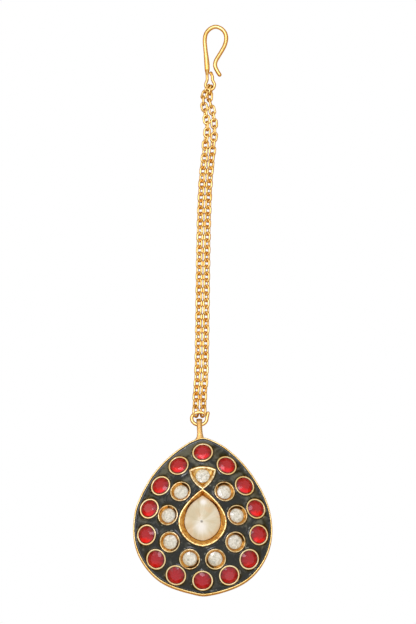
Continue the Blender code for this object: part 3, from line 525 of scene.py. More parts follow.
def ruby_glass():
    """Lab-grown ruby over red foil: crimson, with painted shade towards the girdle and a painted
    glow of light along its lower edge.

    Painted reflections of eight pavilion facets show inside, and the painted glow is fainter
    towards the pendant's foot.
    """
    made, node = new_material("faceted ruby", Roughness=0.08, IOR=1.5)
    across, along, out = stone_place(node)
    place = node("TexCoord", out="Object")
    # painted shade: the crimson darkens towards the girdle
    crimson_with_girdle_shade = [(0.0, "b41524"), (0.55, "a81020"), (0.85, "880c18"), (1.0, "50060c")]
    base = node("ValToRGB", stops=crimson_with_girdle_shade, n0=out)
    # painted reflections of eight pavilion facets
    turn = node("Math", TURN, along, across)
    painted_facet_reflections = node("Math", SINE, node("Math", MULTIPLY, turn, 8.0))
    painted_facet_reflections = node("MapRange", LINEAR, painted_facet_reflections, -0.2, 0.2, 0.0, 0.22)
    # painted glow of light along the lower edge, fainter towards the pendant's foot
    low = node("Math", MULTIPLY_ADD, along, -1.0, -0.12)
    drift = node("TexNoise", Vector=place, Scale=1 / (1.1 * MM), Detail=2.0)
    drift = node("Math", MULTIPLY_ADD, drift, 0.9, -0.45)
    painted_glow = node("Math", ADD, low, drift)
    painted_glow = node("MapRange", EASED, painted_glow, 0.0, 0.7)
    within = node("MapRange", EASED, out, 0.98, 0.8)
    painted_glow = node("Math", MULTIPLY, painted_glow, within)
    height = node("SeparateXYZ", out=1, n0=place)
    height = node("MapRange", EASED, height, -14 * MM, -5 * MM, 0.3)
    painted_glow = node("Math", MULTIPLY, painted_glow, height)
    return finished(made, base, (painted_facet_reflections, "cc3040"), (painted_glow, "ff1018"))


def polki_glass():
    """Uncut white stone over silver foil: bright grey-white, clouded and crossed by fine cracks,
    with painted shade tinted by the collar's gold at its edge.
    """
    made, node = new_material(
        "foiled white polki", Roughness=0.12, IOR=1.9, Coat_Weight=0.5, Coat_Roughness=0.04
    )
    place = node("TexCoord", out="Object")
    cloud = node("TexNoise", Vector=place, Scale=1 / (0.9 * MM), Detail=4.0, Distortion=1.2)
    whites = [(0.28, "aeada0"), (0.42, "d6d5c8"), (0.56, "eeede2"), (0.75, "fffef6")]
    base = node("ValToRGB", stops=whites, n0=cloud)
    to_edge = {"feature": "DISTANCE_TO_EDGE"}
    cracks = node("TexVoronoi", to_edge, out="Distance", Vector=place, Scale=1 / (0.8 * MM))
    cracks = node("MapRange", LINEAR, cracks, 0.0, 0.06, 0.3, 0.0)
    # painted shade, tinted with the collar's gold, at the stone's edge
    out = stone_place(node)[2]
    edge = node("MapRange", LINEAR, out, 0.8, 1.0, 0.0, 0.55)
    return finished(made, base, (cracks, "96948a"), (edge, "b8a878"))


def cream_glass():
    """The large stone, foiled cream: faint rays from its point, a painted reflection of gold light
    by its edge, and painted highlights below its point and near its tip.
    """
    made, node = new_material(
        "foiled cream polki", Roughness=0.2, IOR=1.5, Coat_Weight=0.2, Coat_Roughness=0.08
    )
    across, along, out = stone_place(node)
    place = node("TexCoord", out="Object")
    aside = node("Math", SUBTRACT, across, PEAR_POINT[0] / PEAR_REACH)
    ahead = node("Math", SUBTRACT, along, PEAR_POINT[1] / PEAR_REACH)
    turn = node("Math", TURN, ahead, aside)
    sine = node("Math", SINE, turn)
    cosine = node("Math", COSINE, turn)
    slow_out = node("Math", MULTIPLY, out, 0.3)
    round_point = node("CombineXYZ", n0=sine, n1=cosine, n2=slow_out)
    rays = node("TexNoise", Vector=round_point, Scale=3.6, Detail=3.0)
    creams = [(0.3, "d2c6a4"), (0.45, "dcd3b7"), (0.6, "e6dfc8"), (0.75, "ede7d5")]
    base = node("ValToRGB", stops=creams, n0=rays)
    warm = node("TexNoise", Vector=place, Scale=1 / (2.0 * MM), Detail=3.0)
    warm = node("MapRange", EASED, warm, 0.45, 0.75, 0.0, 0.5)
    left_shade = patch(node, across, along, -0.45, 0.15, 0.6, 0.6)
    # painted highlight below the point
    painted_highlight_below = patch(node, across, along, -0.06, -0.4, 0.42, 0.8)
    # painted reflection of gold light by the edge, stronger to the right
    edge = node("MapRange", EASED, out, 0.6, 1.0, 0.0, 0.8)
    rightward = node("MapRange", EASED, across, -0.3, 0.6, 0.35)
    edge = node("Math", MULTIPLY, edge, rightward)
    # painted highlight near the tip
    painted_highlight_at_tip = patch(node, across, along, 0.03, 0.68, 0.2, 0.95)
    dark_point = patch(node, aside, ahead, 0.0, 0.0, 0.09, 0.8)
    return finished(
        made, base,
        (warm, "e6c49c"), (left_shade, "cdbf9c"), (painted_highlight_below, "ffffff"),
        (edge, "d8a862"), (painted_highlight_at_tip, "ffffff"), (dark_point, "5f5a4c"),
    )


wire_gold = polished_gold("polished gold wire", "e6b662", "f6d894", 0.14, 1.2, 0.12)
sheet_gold = polished_gold("polished gold sheet", "e6bc68", "fae4a6", 0.3, 1.4, 0.15)
lip_gold = polished_gold("burnished gold lip", "f8da9c", "fff0c8", 0.24, 0.6, 0.2)
bail_gold = polished_gold("cast gold strip", "a87e44", "d6ac6c", 0.38, 0.6, 0.7)
open_collar_gold = collar_gold()
enamel_skin = charcoal_enamel()
ruby_skin = ruby_glass()
polki_skin = polki_glass()
cream_skin = cream_glass()


def cad_points(node):
    """A solid node's corners, each once."""
    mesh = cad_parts[node].data
    points = np.empty(len(mesh.vertices) * 3)
    mesh.vertices.foreach_get("co", points)
    return np.unique(points.reshape(-1, 3).round(7), axis=0)


def pendant_outline():
    """The edge of the pendant's back in the solid model, as a smooth even loop."""
    corners = cad_points("setting")
    back = corners[corners[:, 2] < 0.01 * MM][:, :2]
    order = np.argsort(np.arctan2(back[:, 1], back[:, 0]))
    loop = smooth_curve(back[order], closed=True)
    loop = np.vstack([loop, loop[:1]])
    return at_lengths(loop, np.linspace(0.0, lengths_along(loop)[-1], OUTLINE_POINTS, endpoint=False))


outline = pendant_outline()
field_edge = inset(outline, RIM_WIDTH)
edge_order = np.argsort(np.arctan2(field_edge[:, 1], field_edge[:, 0]))
edge_turns = np.arctan2(field_edge[:, 1], field_edge[:, 0])[edge_order]
edge_radii = np.hypot(field_edge[:, 0], field_edge[:, 1])[edge_order]


def dome(plan):
    """The domed field's height over plan points: a parabola from the middle to the rim."""
    turns = np.arctan2(plan[..., 1], plan[..., 0])
    to_edge = np.interp(turns, edge_turns, edge_radii, period=2 * math.pi)
    share = np.hypot(plan[..., 0], plan[..., 1]) / to_edge
    return RIM_HEIGHT - FIELD_DROP + DOME_RISE * (1 - share**2)


class Collar:
    """One bezel: the middle of its lip, its directions and its outline in its own plane."""

    def __init__(self, node, middle, axis, shape):
        self.node = node
        self.middle = np.asarray(middle, float)
        self.n = unit(axis)
        self.u = unit(np.array([1.0, 0.0, 0.0]) - self.n[0] * self.n)
        self.v = np.cross(self.n, self.u)
        self.shape = shape
        self.stone_shift = (0.0, TRILLION_STONE_RISE if node == "polki_top" else 0.0)

    def to_world(self, plan, level):
        """World points of plan points, a level below the lip."""
        level = np.broadcast_to(level, plan.shape[:-1])[..., None]
        return self.middle + plan[..., :1] * self.u + plan[..., 1:] * self.v - level * self.n


def stone_seat(node):
    """Where a stone of the solid model lies: the middle of its girdle and its axis.

    The axis is the direction in which its corners spread least, and the girdle is made of
    the corners that lie farthest out from it.
    """
    corners = cad_points(node)
    middle = corners.mean(axis=0)
    axis = np.linalg.svd(corners - middle)[2][2]
    axis = axis * np.sign(axis[2])
    across = (corners - middle) - ((corners - middle) @ axis)[:, None] * axis
    out = np.linalg.norm(across, axis=1)
    return corners[out > 0.9 * out.max()].mean(axis=0), axis


def circle(radius, count):
    """Evenly spaced plan points round a circle."""
    turn = np.arange(count) * 2 * math.pi / count
    return radius * np.column_stack([np.cos(turn), np.sin(turn)])


def pear_shape():
    """The pear outline: listed half widths along its length, smoothed and mirrored."""
    rows = np.array(PEAR_OUTLINE)
    right = np.column_stack([rows[:, 1] * PEAR_WIDTH / 2, (rows[:, 0] - 0.5) * PEAR_LENGTH])
    curve = smooth_curve(right)
    side = at_lengths(curve, np.linspace(0.0, lengths_along(curve)[-1], COLLAR_POINTS // 2 + 1))
    return np.vstack([side, side[-2:0:-1] * (-1, 1)])


def trillion_shape():
    """Three sides bowed out as parabolas, with one corner pointing down."""
    top = TRILLION_LENGTH / 2 - TRILLION_BULGE
    tip = np.array([0.0, -TRILLION_LENGTH / 2 - TRILLION_TIP])
    right = np.array([TRILLION_WIDTH / 2, top])
    left = np.array([-TRILLION_WIDTH / 2, top])
    share = np.linspace(0.0, 1.0, COLLAR_POINTS // 3, endpoint=False)[:, None]
    sides = []
    for start, end, bulge in (
        (tip, right, TRILLION_SIDE_BULGE),
        (right, left, TRILLION_BULGE),
        (left, tip, TRILLION_SIDE_BULGE),
    ):
        outward = unit([end[1] - start[1], start[0] - end[0]])
        sides.append(start + (end - start) * share + outward * 4 * bulge * share * (1 - share))
    return np.vstack(sides)


def all_collars():
    """The bezels, each put where the solid model holds its stone."""
    rubies = [f"ruby_{number:02d}" for number in range(1, RUBY_COUNT + 1)]
    whites = [f"polki_{number:02d}" for number in range(1, POLKI_COUNT + 1)] + ["polki_top"]
    found = []
    for node in rubies + whites:
        middle, axis = stone_seat(node)
        if node in whites:
            middle = middle + POLKI_RECESS * axis
        shape = trillion_shape() if node == "polki_top" else circle(BEZEL_WIDTH / 2, COLLAR_POINTS)
        found.append(Collar(node, middle, axis, shape))
    top = dome(np.array([0.0, PEAR_MIDDLE])) + PEAR_LIP_HEIGHT
    found.append(Collar("polki_centre", (0.0, PEAR_MIDDLE, top), (0.0, 0.0, 1.0), pear_shape()))
    return found


collars = all_collars()


def outer_loop(collar, level, drawn_in=0.0):
    """A collar's outside at a level below its lip, flattened where a neighbour stands near.

    A point is pushed back where it comes nearer than half a web to the plane midway to a
    round neighbour, or nearer than a web to the large stone's collar.
    """
    taper = BEZEL_TAPER * level / WALL_DROP
    points = collar.to_world(inset(collar.shape, taper + drawn_in), level)
    if collar.node in ("polki_centre", "polki_top"):
        return points
    middle = collar.middle - level * collar.n
    radius = BEZEL_WIDTH / 2 - taper
    for other in collars:
        if other is collar or other.node == "polki_top":
            continue
        if other.node == "polki_centre":
            edge = other.to_world(inset(other.shape, taper), level) - middle
            away = edge[np.argmin(np.linalg.norm(edge, axis=1))]
            distance = np.linalg.norm(away)
            limit = distance - WEB
        else:
            away = other.middle - level * other.n - middle
            distance = np.linalg.norm(away)
            limit = radius + min(distance - 2 * radius - WEB, 0.0) / 2
        if distance > 2 * BEZEL_WIDTH:
            continue
        past = (points - middle) @ (away / distance) - (limit - drawn_in)
        points = points - np.maximum(past, 0.0)[:, None] * (away / distance)
    return points


def pear_seat(shape):
    """The foot of the large stone's wall: the pear moved inwards, less at its shoulders.

    The distance is the lip and the slope, less a bell curve of the place along the pear.
    """
    from_shoulder = (shape[:, 1] - PEAR_SHOULDER_Y) / PEAR_SHOULDER_REACH
    reach = PEAR_LIP + PEAR_SLOPE - PEAR_SHOULDER * np.exp(-(from_shoulder**2))
    return inset(shape, reach[:, None])


def collar_rows(collar):
    """A bezel's surface, row by row, and each row's tone from 0 on the lip to 1 at the seat.

    The rows go up the outside, over the rounded lip and down to the stone's seat. An open
    wall runs straight from its brink to its foot, and sags between them by a sine.
    """
    red = collar.node.startswith("ruby")
    table = COLLAR_OUTSIDE + RUBY_LIP_INSIDE if red else COLLAR_OUTSIDE
    rows = [outer_loop(collar, level * MM, drawn_in * MM) for level, drawn_in, _ in table]
    tones = np.array([tone for _, _, tone in table])
    if red:
        rows.append(np.broadcast_to(collar.middle - RUBY_HOLE_DEPTH * collar.n, rows[0].shape))
        return np.array(rows), np.append(tones, tones[-1])
    if collar.node == "polki_centre":
        lip, depth = PEAR_LIP, PEAR_RECESS
        seat = pear_seat(collar.shape)
    else:
        lip = TRILLION_LIP if collar.node == "polki_top" else POLKI_LIP
        depth = POLKI_RECESS
        seat = unit(collar.shape) * STONE_SEAT_RADIUS + collar.stone_shift
    rows += [outer_loop(collar, 0.0, share * lip) for share in OPEN_LIP_SHARES]
    brink = outer_loop(collar, BRINK_DROP, lip)
    foot = collar.to_world(seat, depth)
    for share in OPEN_WALL_SHARES:
        sag = WALL_SAG * math.sin(math.pi * share) * depth
        rows.append(brink + (foot - brink) * share - sag * collar.n)
    rows.append(collar.to_world(seat * SEAT_SHARE, depth + SEAT_DROP))
    rows.append(np.broadcast_to(collar.middle - (depth + SEAT_MIDDLE_DROP) * collar.n, brink.shape))
    wall_tones = BRINK_TONE + (1 - BRINK_TONE) * np.array(OPEN_WALL_SHARES)
    inside = np.concatenate([OPEN_LIP_TONES, wall_tones, [1.0, 1.0]])
    # painted light: the trillion's wall is painted paler
    if collar.node == "polki_top":
        inside = inside * TRILLION_WALL_TONE
    if collar.node == "polki_centre":
        inside = np.maximum(inside, PEAR_LIP_TONE)
    return np.array(rows), np.concatenate([tones, inside])


def collars_piece(name, chosen, finish):
    """Several bezels as one piece, each a closed-up sheet of its own.

    Its UVs hold the row's tone, which sets the painted shade down an open wall, and how near a
    place is to the wall's side with painted shadow: a cosine of the turn from it round the collar.
    """
    points = []
    faces = []
    uv = []
    start = 0
    for collar in chosen:
        rows, tones = collar_rows(collar)
        tones = tones[:, None]
        turn = np.arctan2(collar.shape[:, 1], collar.shape[:, 0])
        shaded = np.full(COLLAR_POINTS, 0.5)
        if collar.node.startswith("polki_0"):
            nearest = min(SHADED_SIDES, key=lambda side: math.dist(side[:2], collar.middle[:2] / MM))
            shaded = 0.5 + 0.5 * np.cos(turn - math.radians(nearest[2]))
        # painted light: the large stone's wall is painted paler on its lower side
        if collar.node == "polki_centre":
            lit = 0.5 - 0.5 * np.sin(turn + PEAR_LIT_TURN)
            lit_tones = np.maximum(tones * (1 - PEAR_LIT_SHARE * lit), PEAR_LIP_TONE)
            tones = np.where(tones > PEAR_LIP_TONE, lit_tones, tones)
        points.append(rows.reshape(-1, 3))
        uv.append(np.stack(np.broadcast_arrays(tones, shaded), axis=-1).reshape(-1, 2))
        faces.append(sheet_faces(*rows.shape[:2], start=start))
        start += rows.shape[0] * rows.shape[1]
    return mesh_piece(name, np.vstack(points), np.vstack(faces), finish, uv=np.vstack(uv))


def rim_piece():
    """The back, side wall and rounded rim: the rim's profile carried round the outline."""
    loops = [inset(outline, inward * MM) for inward, _ in RIM_PROFILE]
    loops = [outline * 0.0] + loops + [outline * 0.0]
    heights = [height * MM for _, height in RIM_PROFILE]
    heights = [0.0] + heights + heights[-1:]
    levels = np.repeat(np.array(heights)[:, None, None], OUTLINE_POINTS, axis=1)
    rows = np.concatenate([np.array(loops), levels], axis=2)
    return mesh_piece("rim", rows, sheet_faces(*rows.shape[:2]), sheet_gold)


def outside_distance(plan, loop):
    """How far plan points lie outside a closed loop, and below zero how far inside it."""
    ahead = np.roll(loop, -1, axis=0) - loop
    offset = plan[:, None] - loop[None]
    share = np.clip((offset * ahead).sum(-1) / (ahead**2).sum(-1), 0, 1)
    near = np.linalg.norm(offset - share[..., None] * ahead, axis=-1).min(axis=1)
    next_y = (loop + ahead)[:, 1]
    spans = (loop[:, 1] > plan[:, 1:2]) != (next_y > plan[:, 1:2])
    rise = np.where(ahead[:, 1] == 0, 1e-12, ahead[:, 1])
    crossing = loop[:, 0] + (plan[:, 1:2] - loop[:, 1]) * ahead[:, 0] / rise
    within = (spans & (crossing > plan[:, :1])).sum(axis=1) % 2 == 1
    return np.where(within, -near, near)


def enamel_piece():
    """The enamel: the dome on a polar grid, drawn up where it wets the metal.

    Its height is the dome's, plus a rise that dies away exponentially from the nearest
    collar or the rim. Inside a collar it falls away steeply, out of sight below the stone.
    """
    share = np.concatenate([[0.0], np.linspace(ENAMEL_START, 1.0, ENAMEL_RINGS) ** ENAMEL_CROWDING])
    edge = inset(outline, RIM_WIDTH - ENAMEL_UNDER_RIM)
    flat = (share[:, None, None] * edge[None]).reshape(-1, 2)
    nearest = np.full(len(flat), 1.0)
    for collar in collars:
        loop = outer_loop(collar, LIP_HEIGHT)[::2, :2]
        close = np.flatnonzero(np.hypot(*(flat - loop.mean(axis=0)).T) < COLLAR_NEAR)
        nearest[close] = np.minimum(nearest[close], outside_distance(flat[close], loop))
    to_rim = np.hypot(*edge.T)[None] * (1 - share[:, None])
    wetted = np.minimum(np.maximum(nearest, 0.0), to_rim.reshape(-1))
    height = dome(flat) - ENAMEL_SINK + CREEP_HEIGHT * np.exp(-wetted / CREEP_REACH)
    height -= np.clip(-nearest - FALL_START, 0.0, FALL_REACH) * FALL_SLOPE
    top = np.column_stack([flat, height]).reshape(len(share), -1, 3)
    side = np.column_stack([edge, dome(edge) - ENAMEL_EDGE_DEPTH])
    under = np.column_stack([edge * 0.0, np.full(len(edge), ENAMEL_FLOOR)])
    rows = np.concatenate([top, side[None], under[None]])
    uv = np.zeros((rows.shape[0] * rows.shape[1], 2))
    # the distance from the metal, which keeps the painted sheen and painted highlight streaks away from it
    uv[: len(wetted), 0] = np.clip(wetted / (1.0 * MM), 0, 1)
    return mesh_piece("enamel_field", rows, sheet_faces(*rows.shape[:2]), enamel_skin, uv=uv)


def brilliant_piece(collar, name, radius, crown, back, recess, finish, jitter, seed):
    """A round cut stone: an eight-sided table, eight stars, eight kites and a facet round.

    Corners lie on three rings: sixteen on the girdle, eight between and eight at the table.
    The two inner rings are moved at random by the jitter, a share of the stone's own size.
    """
    random = np.random.default_rng(seed)
    eighth = np.arange(8)
    turned = (eighth + 0.5) * math.pi / 4
    between = STAR_REACH * radius * np.column_stack([np.cos(turned), np.sin(turned)])
    plan = np.vstack([circle(radius, 16), between, circle(TABLE_REACH * radius, 8), np.zeros((2, 2))])
    rise = np.repeat([0.0, STAR_RISE * crown, crown, crown, -back], [16, 8, 8, 1, 1])
    plan[16:32] += random.normal(0.0, jitter * radius, (16, 2))
    rise[16:24] += random.normal(0.0, jitter * crown, 8)
    points = collar.to_world(plan + collar.stone_shift, recess - rise)
    girdle = 2 * eighth
    star = 16 + eighth
    table = 24 + eighth
    next_table = 24 + (eighth + 1) % 8
    middle, foot = np.full(8, 32), np.full(16, 33)
    ring = np.arange(16)
    faces = np.vstack(
        [
            np.column_stack([table, star, next_table]),
            np.column_stack([table, girdle, star]),
            np.column_stack([table, 16 + (eighth - 1) % 8, girdle]),
            np.column_stack([star, girdle, girdle + 1]),
            np.column_stack([star, girdle + 1, (girdle + 2) % 16]),
            np.column_stack([table, next_table, middle]),
            np.column_stack([(ring + 1) % 16, ring, foot]),
        ]
    )
    uv = plan / radius * 0.5 + 0.5
    piece = mesh_piece(name, points, faces, finish, smooth=False, uv=uv)
    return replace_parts(piece, collar.node)


def pear_piece(collar):
    """The large stone: rings of the pear shape that rise to a point, scalloped by sixteen facets.

    Its height goes as one minus a power of the share outwards, and each ring sinks a little
    between the facets' edges by the size of a cosine round the stone.
    """
    base = inset(pear_seat(collar.shape), PEAR_GAP)
    for _ in range(8):
        base = (np.roll(base, 1, axis=0) + 2 * base + np.roll(base, -1, axis=0)) / 4
    share = np.linspace(1.0, 0.0, 30)[:, None]
    turn = np.arctan2(base[:, 1], base[:, 0])[None]
    scallop = PEAR_SCALLOP * np.abs(np.cos(8 * turn)) * np.sin(math.pi * share)
    rise = PEAR_GIRDLE_RISE + PEAR_CROWN * (1 - share**PEAR_SWELL) - scallop
    point = np.array(PEAR_POINT)
    plan = point + (base - point)[None] * share[..., None]
    under = collar.to_world(base * 0.0, PEAR_RECESS + PEAR_BACK)
    rows = np.concatenate([under[None], collar.to_world(plan, PEAR_RECESS - rise)])
    flat = np.concatenate([base[None] * 0.0, plan]).reshape(-1, 2)
    uv = flat / PEAR_REACH * 0.5 + 0.5
    piece = mesh_piece("pear_stone", rows, sheet_faces(*rows.shape[:2]), cream_skin, uv=uv)
    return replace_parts(piece, collar.node)


def wire_surface(path, radii, sides, wide=1.0):
    """A round wire: circles carried along a path that lies nearly level, each square to it.

    A circle's first direction is level, and its second points up and is square to the path.
    Where the wire is hammered flatter, its level width is wide times as much.
    """
    ahead = unit(np.gradient(path, axis=0))
    across = unit(np.cross(ahead, (0.0, 0.0, 1.0)))
    up = np.cross(across, ahead)
    turn = np.arange(sides) * 2 * math.pi / sides
    across = across * np.broadcast_to(wide, len(path))[:, None]
    ring = np.cos(turn)[None, :, None] * across[:, None] + np.sin(turn)[None, :, None] * up[:, None]
    return path[:, None] + np.asarray(radii)[:, None, None] * ring


def round_ends(path, radii, wire):
    """The wire's radii, drawn in as a half circle over the last wire radius at each end."""
    along = lengths_along(path)
    to_end = np.minimum(along, along[-1] - along) / (wire / 2)
    return radii * np.sqrt(np.clip(1 - (1 - np.clip(to_end, 0, 1)) ** 2, 0, 1))


def dense_ends(length, sections, wire):
    """Distances along a wire, closer together near its ends."""
    tip = wire / 2 * (1 - np.cos(np.linspace(0, math.pi / 2, 7)))
    between = np.linspace(wire / 2, length - wire / 2, sections)[1:-1]
    return np.concatenate([tip, between, length - tip[::-1]])


pendant_top = outline[:, 1].max()
ring_half_width = (RING_WIDTH - RING_WIRE) / 2
ring_half_length = (RING_LENGTH - RING_WIRE) / 2
ring_y = pendant_top + BAIL_REACH - BAIL_STRIP - RING_SLACK - RING_WIRE / 2 + ring_half_length


def strand_grips(side):
    """The points where a chain's links bear on each other, from the jump ring to the eye."""
    turn = math.radians(RING_LINK_TURN)
    within = RING_WIRE / 2 + RING_LINK_REST
    start = (
        RING_X + side * (ring_half_width - within) * math.sin(turn),
        ring_y + (ring_half_length - within) * math.cos(turn),
        RING_Z,
    )
    beside = [(x * MM + side * STRAND_HALF_SPACING, y * MM, CHAIN_Z) for x, y in MIDDLE_ROUTE]
    top = RIGHT_TOP_ROUTE if side > 0 else LEFT_TOP_ROUTE
    risen = np.linspace(0.0, LEFT_TOP_RISE if side < 0 else 0.0, LEFT_RISE_POINTS)
    heights = EYE_Z + np.concatenate([np.zeros(len(top) - LEFT_RISE_POINTS), risen])
    twisted = [(x * MM, y * MM, z) for (x, y), z in zip(top, heights)]
    end_y = EYE_Y - EYE_LINK_REST - EYE_LINK_DROP + (LEFT_EYE_STAGGER if side < 0 else 0.0)
    route = smooth_curve([start] + beside + twisted + [(EYE_X + side * EYE_LINK_OFFSET, end_y, EYE_Z)])
    length = lengths_along(route)[-1]
    free = (length - END_LINK_INNER) / LINK_PITCH
    count = 2 * round(free / 2) + 1 if side > 0 else 2 * round((free + 1) / 2)
    plain = count - 1 - UNTWISTED_AFTER
    body = END_LINK_INNER + LINK_PITCH * np.arange(plain + 1)
    last = np.linspace(body[-1], length, UNTWISTED_AFTER + 1)[1:]
    return at_lengths(route, np.concatenate([[0.0], body, last]))


def chain_piece(name, side):
    """A cable chain of oval links in round wire, tilted one way and the other by turns.

    Each link is a circle carried round a track of two half circles and two straight sides.
    All links are worked out at once: link, place round the track, place round the wire.
    """
    grips = strand_grips(side)
    near, far = grips[:-1], grips[1:]
    number = np.arange(len(near))
    from_top = len(near) - 1 - number
    untwisting = (UNTWISTED_AFTER - from_top) / (UNTWISTED_AFTER - TWISTED_LINKS)
    twist = (RIGHT_TWIST if side > 0 else LEFT_TWIST) * np.clip(untwisting, 0, 1)
    twist = twist + TOP_TWIST * np.clip((TOP_TWIST_LINKS - from_top) / (TOP_TWIST_LINKS - 1), 0, 1)
    tilt = np.where(number % 2 == 0, OUTER_LINK_TILT, INNER_LINK_TILT)
    tilt = np.where(number == 0, END_LINK_TILT, tilt)
    width = np.where(number == 0, END_LINK_WIDTH, LINK_WIDTH)
    lean = np.radians(side * tilt + twist)[:, None]
    along = unit(far - near)
    level = unit(np.cross(along, (0.0, 0.0, 1.0)))
    up = np.cross(level, along)
    across = level * np.cos(lean) + up * np.sin(lean)
    face = np.cross(along, across)
    wire = LINK_WIRE / 2
    bend = (width - LINK_WIRE) / 2
    straight = np.linalg.norm(far - near, axis=1) / 2 + wire - bend
    half = np.linspace(-math.pi / 2, math.pi / 2, LINK_BEND_POINTS)
    track = np.concatenate([half, half + math.pi])
    push = np.repeat([1.0, -1.0], LINK_BEND_POINTS)
    outward = (
        along[:, None] * np.cos(track)[None, :, None] + across[:, None] * np.sin(track)[None, :, None]
    )
    centre = (
        (near + far)[:, None] / 2
        + along[:, None] * (straight[:, None] * push[None])[..., None]
        + bend[:, None, None] * outward
    )
    turn = np.arange(LINK_SIDES) * 2 * math.pi / LINK_SIDES
    points = (
        centre[:, :, None]
        + wire * np.cos(turn)[None, None, :, None] * outward[:, :, None]
        + wire * np.sin(turn)[None, None, :, None] * face[:, None, None]
    )
    one = sheet_faces(len(track), LINK_SIDES, wrap_rows=True)
    faces = (one[None] + (number * len(track) * LINK_SIDES)[:, None, None]).reshape(-1, 4)
    piece = mesh_piece(name + "_links", points, faces, wire_gold)
    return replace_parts(piece, name)


def hook_piece():
    """The hook: a wire along its given route, thinner and lifted where it forms the eye.

    Above the eye its shank is hammered wider by a bell curve of the place along it.
    """
    size = ((EYE_INNER_WIDTH + EYE_WIRE) / 2, EYE_LENGTH)
    bend = np.radians(np.linspace(180, 360, 5))
    loop = size[0] * np.column_stack([np.cos(bend), np.sin(bend)])
    eye = np.vstack([np.array(EYE_LEFT_LEG) * size, loop, np.array(EYE_RIGHT_LEG) * size])
    curve = smooth_curve(np.vstack([np.array(HOOK_ROUTE) * MM, eye + (EYE_X, EYE_Y)]))
    curve = at_lengths(curve, dense_ends(lengths_along(curve)[-1], 240, HOOK_WIRE))
    taper_end = EYE_Y + EYE_LENGTH * EYE_TAPER_END
    eye_share = np.clip((taper_end - curve[:, 1]) / (EYE_LENGTH * EYE_TAPER), 0, 1)
    eye_share[: np.argmax(curve[:, 1])] = 0.0
    flat_z = HOOK_WIRE / 2 + HOOK_OFF_FLOOR
    path = np.column_stack([curve, flat_z + (EYE_Z - flat_z) * eye_share])
    radii = HOOK_WIRE / 2 + (EYE_WIRE - HOOK_WIRE) / 2 * eye_share
    from_flat = (curve[:, 1] - SHANK_FLAT_Y) / SHANK_FLAT_REACH
    on_shank = np.arange(len(curve)) > np.argmax(curve[:, 1])
    wide = 1 + SHANK_FLATTENED * np.exp(-(from_flat**2)) * on_shank * (1 - eye_share)
    rows = wire_surface(path, round_ends(path, radii, HOOK_WIRE), 20, wide)
    piece = mesh_piece("hair_hook", rows, sheet_faces(*rows.shape[:2]), wire_gold)
    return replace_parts(piece, "hook")


def jump_ring_piece():
    """The open ring: a little over one turn of wire whose free end is lifted and turned out."""
    turns = np.radians(np.linspace(RING_START, RING_START + RING_TURN, 120))
    free = math.radians(RING_FREE_TURN)
    late = np.clip((turns - turns[-1] + free) / free, 0, 1) ** 2
    outwards = late * (RING_WIRE + RING_FREE_GAP)
    across = RING_X + (ring_half_width + outwards) * np.cos(turns)
    along = ring_y + (ring_half_length + outwards) * np.sin(turns)
    path = np.column_stack([across, along, RING_Z + late * RING_FREE_LIFT])
    path = at_lengths(path, dense_ends(lengths_along(path)[-1], 90, RING_WIRE))
    rows = wire_surface(path, round_ends(path, np.full(len(path), RING_WIRE / 2), RING_WIRE), 18)
    piece = mesh_piece("open_ring", rows, sheet_faces(*rows.shape[:2]), wire_gold)
    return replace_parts(piece, "jump_ring")


def bail_piece():
    """The bail: an oval section carried round a narrow upright loop, flared at its foot.

    Its width grows exponentially towards the foot, and a little by a bell curve at the far
    end of the loop. Its foot leans to the right.
    """
    top = RING_Z + RING_WIRE / 2 + BAIL_OVER_RING + BAIL_STRIP / 2
    bottom = BAIL_OFF_FLOOR + BAIL_STRIP / 2
    bend = (top - bottom) / 2
    root = pendant_top - BAIL_ROOT
    turn_y = pendant_top + BAIL_REACH - BAIL_STRIP / 2 - bend
    turns = np.linspace(math.pi / 2, -math.pi / 2, 25)
    arc = np.column_stack([turn_y + bend * np.cos(turns), (top + bottom) / 2 + bend * np.sin(turns)])
    leg = np.linspace(root, turn_y, 24)[:-1]
    upper = np.column_stack([leg, np.full(len(leg), top)])
    lower = np.column_stack([leg[::-1], np.full(len(leg), bottom)])
    line = np.vstack([upper, arc, lower])
    ahead = unit(np.gradient(line, axis=0))
    out = np.column_stack([-ahead[:, 1], ahead[:, 0]])
    flare = BAIL_FLARE * np.exp(-(line[:, 0] - root) / BAIL_FLARE_REACH)
    cap = BAIL_CAP * np.exp(-(((line[:, 0] - turn_y - bend) / BAIL_CAP_REACH) ** 2))
    half = BAIL_WIDTH / 2 * (1 + flare + cap)
    corner = np.arange(BAIL_SIDES) * 2 * math.pi / BAIL_SIDES
    deep = np.sin(corner) * BAIL_STRIP / 2
    lean = BAIL_LEAN * np.clip((turn_y - line[:, 0]) / (turn_y - root), 0, 1)
    x = RING_X + lean[:, None] + half[:, None] * np.cos(corner)[None]
    y = line[:, :1] + out[:, :1] * deep[None]
    z = line[:, 1:] + out[:, 1:] * deep[None]
    rows = np.stack([x, y, z], axis=-1)
    ends = rows[[0, -1]].mean(axis=1, keepdims=True).repeat(BAIL_SIDES, axis=1)
    rows = np.concatenate([ends[:1], rows, ends[1:]])
    return mesh_piece("bail", rows, sheet_faces(*rows.shape[:2]), bail_gold)


